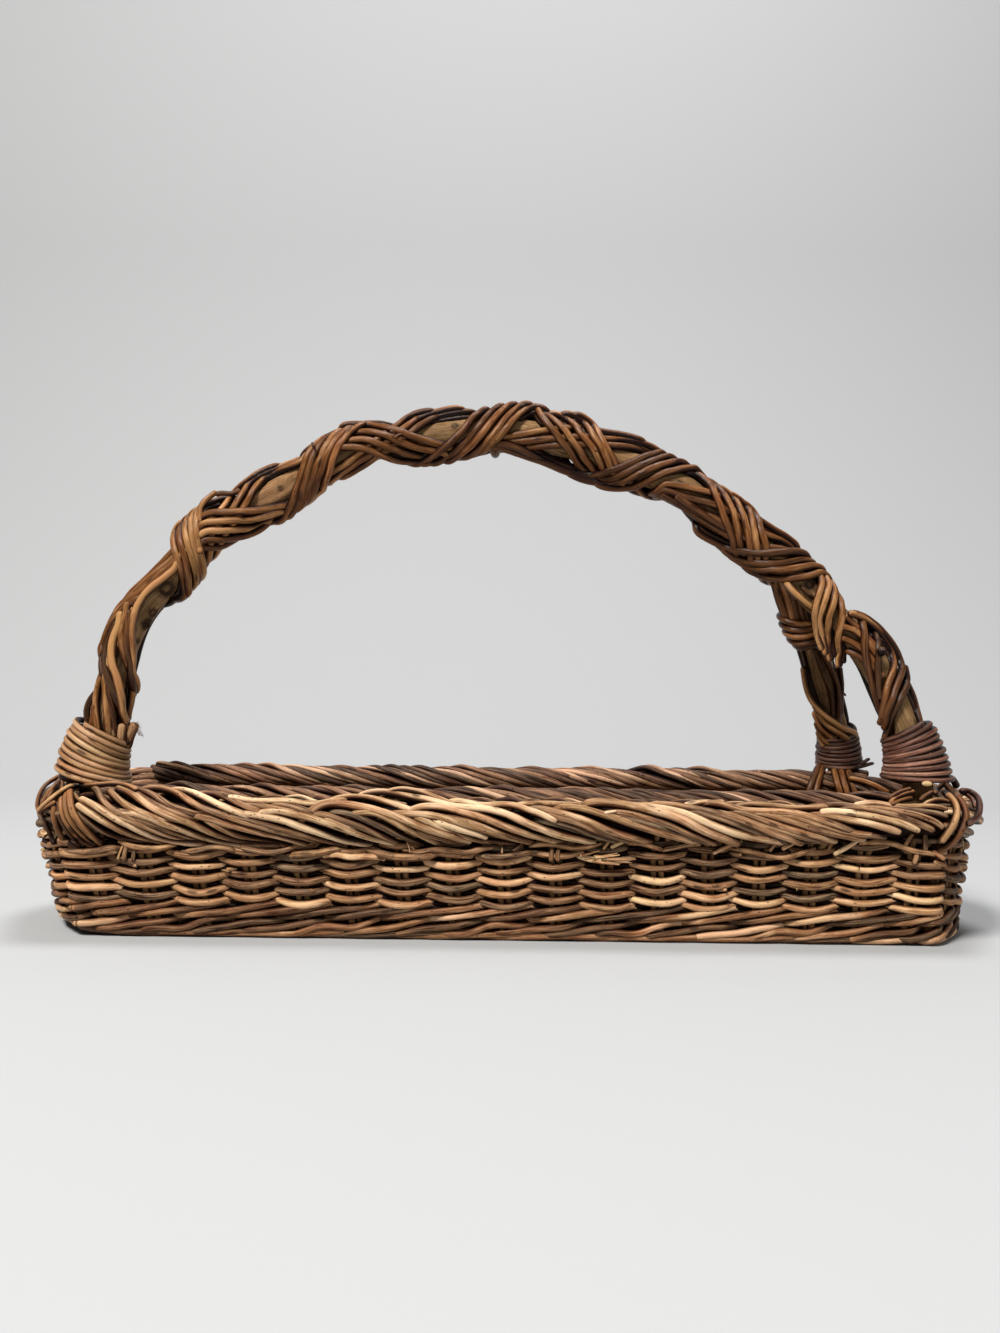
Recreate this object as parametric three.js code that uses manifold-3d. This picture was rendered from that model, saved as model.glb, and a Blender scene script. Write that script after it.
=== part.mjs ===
// A long, shallow willow gathering basket: a rectangular stake-and-strand
// basket with bowed ends, a rope-like rolled border and one arched handle that
// forks into two legs at its right-hand end. Millimetres, +Z up, the long side
// along X, the front wall at -Y. The base rests on z = 0.
import * as THREE from 'three';
import { mergeVertices } from 'three/addons/utils/BufferGeometryUtils.js';
import Module from 'manifold-3d';

// ---------------------------------------------------------------- dimensions
const ORIGIN_SHIFT = [-2.5, 0.09];      // moves the outer box's centre onto the Z axis
const WALL_TOP = 60;                   // height at which the top outline is given
const CORNER_X_LEFT = [-209, -218];    // front and back corner x on the left: foot, top
const CORNER_X_RIGHT = [217, 220];     // and on the right
const HALF_WIDTH = [42, 46];           // wall centre line from the middle: foot, top
const BOW_LEFT = [22, 23];             // how far the left end bows out: foot, top
const BOW_RIGHT = [23, 26];            // and the right end
const WALL_HALF = 5.2;                 // half the thickness of the woven wall
const GAP = 0.35;                      // clearance between neighbouring pieces

const WALE_TOP = 17.5;                 // bottom waling from the ground to here
const SIDING = [17.9, 46.0];           // siding from, to
const STAKE_TOP = 49.2;                // stakes end under the border
const STAKE_SIZE = [7.6, 3.8];         // a pair of stakes: width along the wall, thickness
const STAKES_LONG = 17;                // pairs in a long wall
const STAKES_END = 4;                  // pairs in an end wall
const FOOT_BAND = 4.0;                 // height of the stakes' joined tails
const POST_RADIUS = 4.0;               // corner posts
const CORNER_TRIM = 5.4;               // walls stop this far from a corner post's middle

const BASE_THICK = 8;                  // base mat
const BASE_STICK_Y = [-28, -14, 0, 14, 28];
const BASE_STICK_RADIUS = 2.5;

const ROPE_RADIUS = 11.3;              // rolled border
const ROPE_Z = 61;
const ROPE_OUT = 1;                    // rope centre outside the wall centre line
const INNER_ROPE_RADIUS = 6.3;         // follow-on rope inside the rolled border
const INNER_ROPE_Z = 70;
const INNER_ROPE_OUT = -10;
const INNER_ROPE_X = { front: [-188, 188], back: [-176, 188] };

const CORE_RADIUS = 7.5;               // thick rod of the handle
const UNDER_WRAP = [8.6, 11.4];        // inner and outer radius of the lower winding
const OVER_WRAP = [12.1, 15.2];        // and of the upper winding
const UNDER_SECTOR = 1.05;             // half the angle that each winding covers
const OVER_SECTOR = 1.15;
const TIE_THICK = 3.8;                 // thickness of a rod that ties a leg down

// handle centre line, from inside the left end over the top to the right end
const BOW_LINE = [
  [-213, -14, 11], [-214.6, -14, 40], [-214.9, -14, 68.8], [-214.1, -14, 86.8], [-210.7, -13.5, 99.5],
  [-208.4, -13, 112.2], [-205.7, -12, 124.9], [-203, -11, 137.7], [-199.2, -10, 150.5],
  [-192.8, -9, 163.4], [-183.1, -8, 176.5], [-172.8, -7, 189.2], [-162.6, -6, 201],
  [-152, -6, 210.8], [-141.6, -5, 218], [-130.9, -5, 224], [-120.4, -4, 229.8],
  [-109.7, -4, 236.4], [-99.1, -4, 243.2], [-88.4, -4, 249.2], [-77.7, -4, 253.2],
  [-56.2, -4, 257.6], [-34.8, -4, 260.7], [-13.3, -4, 263.4], [8.2, -4, 263], [29.8, -4, 258.6],
  [51.4, -4, 251.8], [72.8, -5, 243.8], [94.3, -6, 234.2], [105.1, -6, 227], [115.7, -7, 219],
  [126.5, -7, 210.8], [137.1, -8, 202.2], [147.6, -9, 193.2], [158.2, -10, 183.4],
  [168.7, -11, 173.1], [179.1, -12, 162.5], [189, -13, 151.6], [196.6, -14, 141.4],
  [202.4, -15, 130.4], [207.4, -16, 119], [212.5, -17, 107.4], [217, -18, 94.5],
  [219.2, -18, 77], [218, -17, 50], [215.5, -16, 11],
];
// inner leg, from under the bow down to the back border
const INNER_LINE = [
  [146.6, -2, 195.9], [159.1, 4, 181.4], [166.9, 10, 167], [173.1, 16, 153.5], [178.3, 22, 141.4],
  [182.4, 28, 129], [188.2, 34, 115.3], [193.6, 40, 101.3], [196.5, 45, 84], [197.2, 46.5, 72.9],
];
// places along X where each winding lies in the middle of the handle's front
const OVER_FRONT_X = [-236, -168, -95.3, -9.8, 72.9, 147.8, 206];
const UNDER_FRONT_X = [-207, -141.6, -56.2, 43.4, 124, 179, 224];

// bindings: from and to height, outer radius at the foot and at the top, turns
const LEFT_BINDING = { z: [74.2, 107.5], r: [21.8, 19.6], turns: 8 };
const RIGHT_BINDING = { z: [73.8, 107.0], r: [20.4, 17.6], turns: 9 };
const INNER_BINDING = { z: [79.4, 102.0], r: [15.0, 11.6], turns: 8 };

const BARK = { color: 0x8a6238, roughness: 0.62, metalness: 0 };
const TAN = { color: 0xa67c4c, roughness: 0.6, metalness: 0 };
const DARK = { color: 0x5a4030, roughness: 0.7, metalness: 0 };
const AMBER = { color: 0x94602e, roughness: 0.55, metalness: 0 };
const CORE = { color: 0x85704f, roughness: 0.75, metalness: 0 };
const RED_BROWN = { color: 0x6a4536, roughness: 0.6, metalness: 0 };

// ---------------------------------------------------------------- helpers
const wasm = await Module();
wasm.setup();
const basket = new THREE.Group();
const frame = new THREE.Group();
frame.position.set(ORIGIN_SHIFT[0], ORIGIN_SHIFT[1], 0);
basket.add(frame);

function weld(geometry) {
  geometry.deleteAttribute('normal');
  geometry.deleteAttribute('uv');
  return outward(mergeVertices(geometry, 1e-4));
}

// turns a closed surface so that its faces point out
function outward(geometry) {
  const p = geometry.attributes.position, index = geometry.index.array;
  let volume = 0;
  const a = new THREE.Vector3(), b = new THREE.Vector3(), c = new THREE.Vector3();
  for (let i = 0; i < index.length; i += 3) {
    a.fromBufferAttribute(p, index[i]);
    b.fromBufferAttribute(p, index[i + 1]);
    c.fromBufferAttribute(p, index[i + 2]);
    volume += a.dot(b.clone().cross(c));
  }
  if (volume < 0) {
    for (let i = 0; i < index.length; i += 3) {
      const t = index[i];
      index[i] = index[i + 1];
      index[i + 1] = t;
    }
  }
  return geometry;
}

function solid(geometry) {
  return new wasm.Manifold(new wasm.Mesh({
    numProp: 3,
    vertProperties: new Float32Array(geometry.attributes.position.array),
    triVerts: new Uint32Array(geometry.index.array),
  }));
}

function fromSolid(shape) {
  const mesh = shape.getMesh();
  const geometry = new THREE.BufferGeometry();
  geometry.setAttribute('position', new THREE.BufferAttribute(new Float32Array(mesh.vertProperties), 3));
  geometry.setIndex(new THREE.BufferAttribute(new Uint32Array(mesh.triVerts), 1));
  return geometry;
}

function add(name, geometry, look) {
  const shown = geometry.toNonIndexed();
  shown.computeVertexNormals();
  const mesh = new THREE.Mesh(shown, new THREE.MeshStandardMaterial(look));
  mesh.name = name;
  frame.add(mesh);
  return mesh;
}

// a closed surface through rings of points, with flat ends
function loft(rings, flat) {
  const n = rings[0].length, position = [], index = [];
  for (const ring of rings) for (const p of ring) position.push(p.x, p.y, p.z);
  for (let i = 0; i + 1 < rings.length; i++) {
    for (let k = 0; k < n; k++) {
      const a = i * n + k, b = i * n + (k + 1) % n;
      index.push(a, b, b + n, a, b + n, a + n);
    }
  }
  const last = (rings.length - 1) * n;
  const turned = THREE.ShapeUtils.isClockWise(flat);
  for (const [i, q, r] of THREE.ShapeUtils.triangulateShape(flat.slice(), [])) {
    const [j, k] = turned ? [r, q] : [q, r];
    index.push(i, k, j);
    index.push(last + i, last + j, last + k);
  }
  const geometry = new THREE.BufferGeometry();
  geometry.setAttribute('position', new THREE.Float32BufferAttribute(position, 3));
  geometry.setIndex(index);
  return outward(geometry);
}

function circle(radius, sides, turn = 0.5) {
  return Array.from({ length: sides }, (_, k) => {
    const a = 2 * Math.PI * (k + turn) / sides;
    return new THREE.Vector2(radius * Math.cos(a), radius * Math.sin(a));
  });
}

// a section of (across, up) points carried along stations of {p, u, v}
function sweep(section, stations) {
  const rings = stations.map(({ p, u, v }) => section.map((q) =>
    p.clone().addScaledVector(u, q.x).addScaledVector(v, q.y)));
  return loft(rings, section);
}

// ---------------------------------------------------------------- outline
const mix = (pair, f) => pair[0] + (pair[1] - pair[0]) * f;

// a point on a wall's centre line: t from 0 to 1, anticlockwise from above
function outline(side, t, z) {
  const f = z / WALL_TOP;
  const xl = mix(CORNER_X_LEFT, f), xr = mix(CORNER_X_RIGHT, f), w = mix(HALF_WIDTH, f);
  if (side === 'front') return [xl + (xr - xl) * t, -w];
  if (side === 'back') return [xr + (xl - xr) * t, w];
  const y = (side === 'right' ? -w + 2 * w * t : w - 2 * w * t);
  const bow = 1 - (y / w) ** 2;
  return side === 'right' ? [xr + mix(BOW_RIGHT, f) * bow, y] : [xl - mix(BOW_LEFT, f) * bow, y];
}

// the outward direction there, level
function outwardAt(side, t, z) {
  const e = 1e-3, a = outline(side, t - e, z), b = outline(side, t + e, z);
  const dx = b[0] - a[0], dy = b[1] - a[1], d = Math.hypot(dx, dy);
  return [dy / d, -dx / d];
}

const LENGTH = {};
for (const side of ['front', 'right', 'back', 'left']) {
  let total = 0, last = outline(side, 0, WALL_TOP / 2);
  for (let i = 1; i <= 60; i++) {
    const next = outline(side, i / 60, WALL_TOP / 2);
    total += Math.hypot(next[0] - last[0], next[1] - last[1]);
    last = next;
  }
  LENGTH[side] = total;
}

// the ends are parabolas, so equal steps along them need this table from
// distance to t
const ALONG = {};
for (const side of ['front', 'right', 'back', 'left']) {
  const table = [[0, 0]];
  let total = 0, last = outline(side, 0, WALL_TOP / 2);
  for (let i = 1; i <= 200; i++) {
    const next = outline(side, i / 200, WALL_TOP / 2);
    total += Math.hypot(next[0] - last[0], next[1] - last[1]);
    last = next;
    table.push([total, i / 200]);
  }
  ALONG[side] = table;
}
function tAt(side, s) {
  const table = ALONG[side];
  const total = table[table.length - 1][0];
  if (s <= 0) return s / total;
  if (s >= total) return 1 + (s - total) / total;
  let i = 1;
  while (table[i][0] < s) i++;
  const [s0, t0] = table[i - 1], [s1, t1] = table[i];
  return t0 + (t1 - t0) * (s - s0) / (s1 - s0);
}

// from wall coordinates (distance along, outward, height) to the basket
function wall(side, s, w, z) {
  const t = tAt(side, s), p = outline(side, t, z), n = outwardAt(side, t, z);
  return [p[0] + n[0] * w, p[1] + n[1] * w, z];
}

// ---------------------------------------------------------------- walls
const SIDES = {
  front: { node: 'front', stakes: STAKES_LONG, step: 1000 },
  back: { node: 'back', stakes: STAKES_LONG, step: 1000 },
  left: { node: 'left_end', stakes: STAKES_END, step: 7 },
  right: { node: 'right_end', stakes: STAKES_END, step: 7 },
};

function stakePlaces(side) {
  const { stakes } = SIDES[side], total = LENGTH[side];
  if (stakes > 10) {
    const edge = 11.2;                      // first and last pair stand close to the corner
    return Array.from({ length: stakes }, (_, i) => edge + (total - 2 * edge) * i / (stakes - 1));
  }
  return Array.from({ length: stakes }, (_, i) => total * (i + 0.75) / (stakes + 0.5));
}

// a straight-sided block in wall coordinates, cut into short lengths along the wall
function wallBlock(side, s0, s1, w, z0, z1, step) {
  const n = Math.max(1, Math.round((s1 - s0) / step));
  const flat = [[-w, z0], [w, z0], [w, z1], [-w, z1]].map(([x, y]) => new THREE.Vector2(x, y));
  const rings = Array.from({ length: n + 1 }, (_, i) =>
    flat.map((q) => new THREE.Vector3(...wall(side, s0 + (s1 - s0) * i / n, q.x, q.y))));
  return loft(rings, flat);
}

// stakes of one wall as a comb: teeth on the band of bent-over tails
function stakeComb(side, grow) {
  const total = LENGTH[side], half = STAKE_SIZE[0] / 2 + grow, thick = STAKE_SIZE[1] / 2 + grow;
  let comb = solid(wallBlock(side, CORNER_TRIM - grow, total - CORNER_TRIM + grow, thick,
    grow > 0 ? -1 : 0, FOOT_BAND + grow, SIDES[side].step));
  for (const s of stakePlaces(side)) {
    comb = comb.add(solid(wallBlock(side, s - half, s + half, thick - 0.01,
      1, STAKE_TOP + (grow > 0 ? 5 : 0), 1000)));
  }
  return comb;
}

// a band of wall between two heights
function wallBand(side, z0, z1) {
  return solid(wallBlock(side, CORNER_TRIM, LENGTH[side] - CORNER_TRIM, WALL_HALF, z0, z1, SIDES[side].step));
}

// the slots that the stakes pass through
function stakeSlots(side, z0, z1) {
  const a = STAKE_SIZE[0] / 2 + GAP, b = STAKE_SIZE[1] / 2 + GAP;
  let slots = null;
  for (const s of stakePlaces(side)) {
    const slot = solid(wallBlock(side, s - a, s + a, b, z0 - 2, z1 + 2, 1000));
    slots = slots ? slots.add(slot) : slot;
  }
  return slots;
}

for (const side of Object.keys(SIDES)) {
  const { node } = SIDES[side];
  add(`${node}_stakes`, fromSolid(stakeComb(side, 0)), BARK);
  const wale = wallBand(side, 0, WALE_TOP).subtract(stakeComb(side, GAP));
  add(`${node}_bottom_wale`, fromSolid(wale), TAN);
  const siding = wallBand(side, SIDING[0], SIDING[1]).subtract(stakeSlots(side, SIDING[0], SIDING[1]));
  add(`${node}_siding`, fromSolid(siding), TAN);
}

// corner posts lean out with the walls
const UP = new THREE.Vector3(0, 0, 1);
const POSTS = {
  corner_post_front_left: ['front', 0], corner_post_front_right: ['front', 1],
  corner_post_back_right: ['back', 0], corner_post_back_left: ['back', 1],
};
for (const [name, [side, t]] of Object.entries(POSTS)) {
  const z0 = 0.6, z1 = 48.8;
  const a = new THREE.Vector3(...outline(side, t, z0), z0), b = new THREE.Vector3(...outline(side, t, z1), z1);
  const rings = [a, b].map((p) => circle(POST_RADIUS, 8).map((q) => new THREE.Vector3(p.x + q.x, p.y + q.y, p.z)));
  add(name, loft(rings, circle(POST_RADIUS, 8)), BARK);
}

// ---------------------------------------------------------------- base
{
  const points = [];
  const inset = -(WALL_HALF + 0.6);
  for (const side of ['front', 'right', 'back', 'left']) {
    const total = LENGTH[side], n = side === 'left' || side === 'right' ? 12 : 1;
    for (let i = 0; i <= n; i++) {
      const [x, y] = wall(side, 7 + (total - 14) * i / n, inset, 0);
      points.push(new THREE.Vector2(x, y));
    }
  }
  const mat = weld(new THREE.ExtrudeGeometry(new THREE.Shape(points), { depth: BASE_THICK, bevelEnabled: false, steps: 1 }));
  let shape = solid(mat);
  BASE_STICK_Y.forEach((y, i) => {
    const reach = (t, s) => Math.abs(outline(s, t, 0)[0]);
    const w = HALF_WIDTH[0];
    const xr = reach((y + w) / (2 * w), 'right') - WALL_HALF - 3.2;
    const xl = reach((w - y) / (2 * w), 'left') - WALL_HALF - 3.2;
    const station = (x) => ({ p: new THREE.Vector3(x, y, BASE_THICK / 2), u: new THREE.Vector3(0, 1, 0), v: UP });
    const channel = sweep(circle(BASE_STICK_RADIUS + 0.3, 8), [station(-260), station(260)]);
    shape = shape.subtract(solid(channel));
    add(`base_stick_${i + 1}`, sweep(circle(BASE_STICK_RADIUS, 8), [station(-xl), station(xr)]), BARK);
  });
  add('base_weave', fromSolid(shape), TAN);
}

// ---------------------------------------------------------------- border
// the border's centre line is one closed curve, cut at the four corners
const rimPoints = [], rimCorner = [];
for (const side of ['front', 'right', 'back', 'left']) {
  const total = LENGTH[side], count = side === 'left' || side === 'right' ? 9 : 12;
  rimCorner.push(rimPoints.length);
  for (let i = 0; i < count; i++) {
    const s = 11 + (total - 22) * i / (count - 1);
    const [x, y] = wall(side, s, ROPE_OUT, WALL_TOP);
    rimPoints.push(new THREE.Vector3(x, y, 0));
  }
}
const rim = new THREE.CatmullRomCurve3(rimPoints, true, 'centripetal');
const rimCount = rimPoints.length;
function rimStation(u, z, out) {
  const p = rim.getPoint(((u % 1) + 1) % 1), t = rim.getTangent(((u % 1) + 1) % 1);
  const n = new THREE.Vector3(t.y, -t.x, 0).normalize();
  return { p: p.clone().addScaledVector(n, out).setZ(z), u: n, v: UP, t };
}
// the corner lies half way between the last point of one wall and the first of the next
const cornerU = rimCorner.map((i) => (i - 0.5) / rimCount);

function cutSection(section, direction, limit) {
  return section.map((q) => {
    const over = q.dot(direction) - limit;
    return over > 0 ? q.clone().addScaledVector(direction, -over) : q.clone();
  });
}
// the two ropes touch along a slanting face
const apart = new THREE.Vector2(INNER_ROPE_OUT - 0, INNER_ROPE_Z - ROPE_Z);
apart.x = INNER_ROPE_OUT - ROPE_OUT;
const distance = apart.length(), toInner = apart.clone().normalize();
const ropeFace = distance * 0.62;
const ropeSection = cutSection(circle(ROPE_RADIUS, 12), toInner, ropeFace - 0.2);
const innerSection = cutSection(circle(INNER_ROPE_RADIUS, 8), toInner.clone().negate(), distance - ropeFace - 0.2);

const BORDER = { front: [0, 1], right: [1, 2], back: [2, 3], left: [3, 4] };
for (const [side, [from, to]] of Object.entries(BORDER)) {
  const u0 = cornerU[from], u1 = (to === 4 ? cornerU[0] + 1 : cornerU[to]);
  const cut = 0.2 / rim.getLength();
  const inside = [];
  for (let k = 0; k < rimCount * 2; k++) {
    const u = k / (2 * rimCount);
    for (const v of [u, u + 1, u - 1]) if (v > u0 + 0.004 && v < u1 - 0.004) inside.push(v);
  }
  inside.sort((a, b) => a - b);
  const straight = side === 'front' || side === 'back';
  const kept = inside.filter((u, i) => !straight || i < 3 || i > inside.length - 4 || i % 12 === 0);
  const stations = [u0 + cut, ...kept, u1 - cut].map((u) => rimStation(u, ROPE_Z, 0));
  add(`${SIDES[side].node}_border`, sweep(straight ? ropeSection : circle(ROPE_RADIUS, 12), stations), TAN);
}
for (const side of ['front', 'back']) {
  const sign = side === 'front' ? -1 : 1;
  const [x0, x1] = INNER_ROPE_X[side];
  const y = sign * (HALF_WIDTH[1] + INNER_ROPE_OUT);
  const u = new THREE.Vector3(0, sign, 0);
  const stations = [x0 * -sign, x1 * -sign].map((x) => ({ p: new THREE.Vector3(x, y, INNER_ROPE_Z), u, v: UP }));
  add(`${side}_inner_border`, sweep(innerSection, stations), BARK);
}

// ---------------------------------------------------------------- handle
const vectors = (list) => list.map((p) => new THREE.Vector3(...p));
const bow = new THREE.CatmullRomCurve3(vectors(BOW_LINE), false, 'centripetal');
const leg = new THREE.CatmullRomCurve3(vectors(INNER_LINE), false, 'centripetal');

// level and upright directions across a curve that lies near an upright plane
function across(curve, u, level = new THREE.Vector3(0, 1, 0)) {
  const p = curve.getPointAt(u), t = curve.getTangentAt(u);
  const back = level.clone().addScaledVector(t, -t.dot(level)).normalize();
  const out = back.clone().cross(t).normalize().negate();
  return { p, t, u: back, v: out };
}
const bowAcross = (u) => across(bow, u);
const legAcross = (u) => across(leg, u, new THREE.Vector3(0.5, 0.8, 0.3).normalize());

const BOW_STEPS = 48;
add('handle_bow', sweep(circle(CORE_RADIUS, 9),
  Array.from({ length: BOW_STEPS + 1 }, (_, i) => bowAcross(i / BOW_STEPS))), CORE);

function bowU(test) {
  for (let i = 0; i <= 4000; i++) if (test(bow.getPointAt(i / 4000))) return i / 4000;
  return 1;
}
const wrapFrom = bowU((p) => p.z > 111.5);
const wrapTo = bowU((p) => p.x > 200 && p.z < 112.5);

// the angle of a winding, 0 at the front and growing towards the handle's top
function windingAngle(u, places, sense) {
  const us = places.map((x) => {
    if (x < -215) return wrapFrom - 0.06;
    if (x > 222) return wrapTo + 0.06;
    return bowU((p) => p.x >= x && p.z > 100);
  });
  let i = 0;
  while (i < us.length - 2 && u > us[i + 1]) i++;
  return sense * 2 * Math.PI * (i + (u - us[i]) / (us[i + 1] - us[i]));
}

// a flat strap of rods that winds round the bow
function winding([r0, r1], half, places, sense, steps) {
  const n = 4, rings = [];
  let flat = null;
  for (let i = 0; i <= steps; i++) {
    const u = wrapFrom + (wrapTo - wrapFrom) * i / steps;
    const { p, u: back, v: out } = bowAcross(u);
    const middle = windingAngle(u, places, sense);
    const section = [];
    for (const [r, d] of [[r1, 1], [r0, -1]]) {
      for (let k = 0; k < n; k++) {
        const a = middle + d * half * (2 * k / (n - 1) - 1);
        // chords of the inner face are moved out so that they clear what they cover
        const rr = r;
        section.push(new THREE.Vector2(-Math.cos(a) * rr, Math.sin(a) * rr));
      }
    }
    if (!flat) flat = section.map((q) => q.clone());
    rings.push(section.map((q) => p.clone().addScaledVector(back, q.x).addScaledVector(out, q.y)));
  }
  return loft(rings, flat);
}
// inner faces are chords, so each winding starts a little further out than the
// round it lies on
const chord = (half) => 1 / Math.cos(half / 3);
const under = winding([UNDER_WRAP[0] * chord(UNDER_SECTOR), UNDER_WRAP[1]], UNDER_SECTOR, UNDER_FRONT_X, -1, 104);
add('handle_wrap_under', under, AMBER);
const over = winding([OVER_WRAP[0] * chord(OVER_SECTOR), OVER_WRAP[1]], OVER_SECTOR, OVER_FRONT_X, 1, 104);
add('handle_wrap_over', over, AMBER);

// the inner leg lies against the bow's windings and is cut to them
{
  const stations = Array.from({ length: 13 }, (_, i) => legAcross(i / 12));
  const body = solid(sweep(circle(CORE_RADIUS, 10), stations));
  const clear = [];
  for (let i = 0; i <= 30; i++) clear.push(bowAcross(0.62 + 0.36 * i / 30));
  const cutter = solid(sweep(circle(OVER_WRAP[1] + 0.45, 14), clear));
  add('inner_leg', fromSolid(body.subtract(cutter)), CORE);
}

// coiled sleeves: rings of rod round a leg
function coil(a, b, bore, r0, r1, turns, sides) {
  const length = b.clone().sub(a).length(), pitch = length / turns;
  const profile = [new THREE.Vector2(bore, 0)];
  for (let i = 0; i < turns; i++) {
    const r = r0 + (r1 - r0) * (i + 0.5) / turns;
    profile.push(new THREE.Vector2(r - 1.3, pitch * (i + 0.02)));
    profile.push(new THREE.Vector2(r, pitch * (i + 0.5)));
  }
  profile.push(new THREE.Vector2(r1 - 1.3, length));
  profile.push(new THREE.Vector2(bore, length));
  profile.push(new THREE.Vector2(bore, 0));
  const geometry = weld(new THREE.LatheGeometry(profile, sides));
  geometry.applyQuaternion(new THREE.Quaternion().setFromUnitVectors(new THREE.Vector3(0, 1, 0), b.clone().sub(a).normalize()));
  geometry.translate(a.x, a.y, a.z);
  return geometry;
}
const onCurve = (curve, z, last) => {
  let best = curve.getPointAt(0), d = 1e9;
  for (let i = 0; i <= 2000; i++) {
    const p = curve.getPointAt(i / 2000);
    if (last(p) && Math.abs(p.z - z) < d) { d = Math.abs(p.z - z); best = p; }
  }
  return best;
};
const legBore = CORE_RADIUS + 1.0;
for (const [name, curve, spec, where, look] of [
  ['left_binding', bow, LEFT_BINDING, (p) => p.x < 0, TAN],
  ['right_binding', bow, RIGHT_BINDING, (p) => p.x > 0, RED_BROWN],
  ['inner_binding', leg, INNER_BINDING, () => true, DARK],
]) {
  const a = onCurve(curve, spec.z[0], where), b = onCurve(curve, spec.z[1], where);
  const sleeve = solid(coil(a, b, CORE_RADIUS - 2, spec.r[0], spec.r[1], spec.turns, 14));
  const at = curve === bow ? bowAcross : legAcross;
  const centre = Array.from({ length: 91 }, (_, i) => (curve === bow && a.x > 0 ? 1 - (90 - i) * 0.0033 : i / 90 * (curve === bow ? 0.3 : 1)));
  const room = solid(sweep(circle(CORE_RADIUS + 0.9, 12), centre.filter((u, i) => i % 3 === 0).map(at)));
  add(name, fromSolid(sleeve.subtract(room)), look);
}
// the short winding at the top of the inner leg, and the spiral below it
{
  const a = leg.getPointAt(0.33), b = leg.getPointAt(0.45);
  add('inner_leg_collar', coil(a, b, legBore, 12.3, 12.3, 4, 14), AMBER);
}
{
  const rings = [], steps = 16, half = 1.0, [r0, r1] = [CORE_RADIUS + 0.9, CORE_RADIUS + 4.4];
  let flat = null;
  for (let i = 0; i <= steps; i++) {
    const u = 0.47 + (0.735 - 0.47) * i / steps;
    const { p, u: back, v: out } = legAcross(u);
    const middle = -1.9 + 5.2 * i / steps;
    const section = [];
    for (const [r, d] of [[r1, 1], [r0, -1]]) {
      for (let k = 0; k < 4; k++) {
        const a = middle + d * half * (2 * k / 3 - 1);
        section.push(new THREE.Vector2(-Math.cos(a) * r, Math.sin(a) * r));
      }
    }
    if (!flat) flat = section.map((q) => q.clone());
    rings.push(section.map((q) => p.clone().addScaledVector(back, q.x).addScaledVector(out, q.y)));
  }
  add('inner_leg_wrap', loft(rings, flat), AMBER);
}

// ---------------------------------------------------------------- ties and loops
// a strap bent round the border rope at one place: angles from level outward, up
function ropeTie(u, width, gap, thick, from, to, steps) {
  const { p, u: n, t } = rimStation(u, ROPE_Z, 0);
  const along = new THREE.Vector3(t.x, t.y, 0).normalize();
  const r = (ROPE_RADIUS + gap) / Math.cos((to - from) / steps / 2) + thick / 2;
  const stations = Array.from({ length: steps + 1 }, (_, i) => {
    const a = from + (to - from) * i / steps;
    const radial = n.clone().multiplyScalar(Math.cos(a)).addScaledVector(UP, Math.sin(a));
    return { p: p.clone().addScaledVector(radial, r), u: along, v: radial };
  });
  const w = width / 2, h = thick / 2, c = Math.min(1.2, h * 0.6);
  const section = [[-w, -h + c], [-w + c, -h], [w - c, -h], [w, -h + c], [w, h - c], [w - c, h], [-w + c, h], [-w, h - c]]
    .map(([x, y]) => new THREE.Vector2(x, y));
  return sweep(section, stations);
}
const deg = Math.PI / 180;
const uNear = (x, y) => {
  let best = 0, d = 1e9;
  for (let i = 0; i < 3000; i++) {
    const p = rim.getPoint(i / 3000), e = Math.hypot(p.x - x, p.y - y);
    if (e < d) { d = e; best = i / 3000; }
  }
  return best;
};
add('left_leg_ties', ropeTie(uNear(-219, -47), 12, GAP, TIE_THICK, 62 * deg, -52 * deg, 9), AMBER);
add('right_leg_ties', ropeTie(uNear(222, -46), 9, GAP, TIE_THICK, 62 * deg, -56 * deg, 9), RED_BROWN);
add('left_corner_loop', ropeTie(uNear(-238, -22), 4, 0.6, 4, 78 * deg, -40 * deg, 9), AMBER);
add('right_corner_loop', ropeTie(uNear(243, -20), 4, 0.6, 4, 78 * deg, -40 * deg, 9), RED_BROWN);
add('inner_leg_tie_1', ropeTie(uNear(185, 47), 8, GAP, TIE_THICK, 112 * deg, 205 * deg, 8), RED_BROWN);
add('inner_leg_tie_2', ropeTie(uNear(209, 47), 8, GAP, TIE_THICK, 112 * deg, 205 * deg, 8), AMBER);

export default basket;
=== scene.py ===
import math

import bpy
import numpy as np
from mathutils import Matrix, Vector


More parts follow.
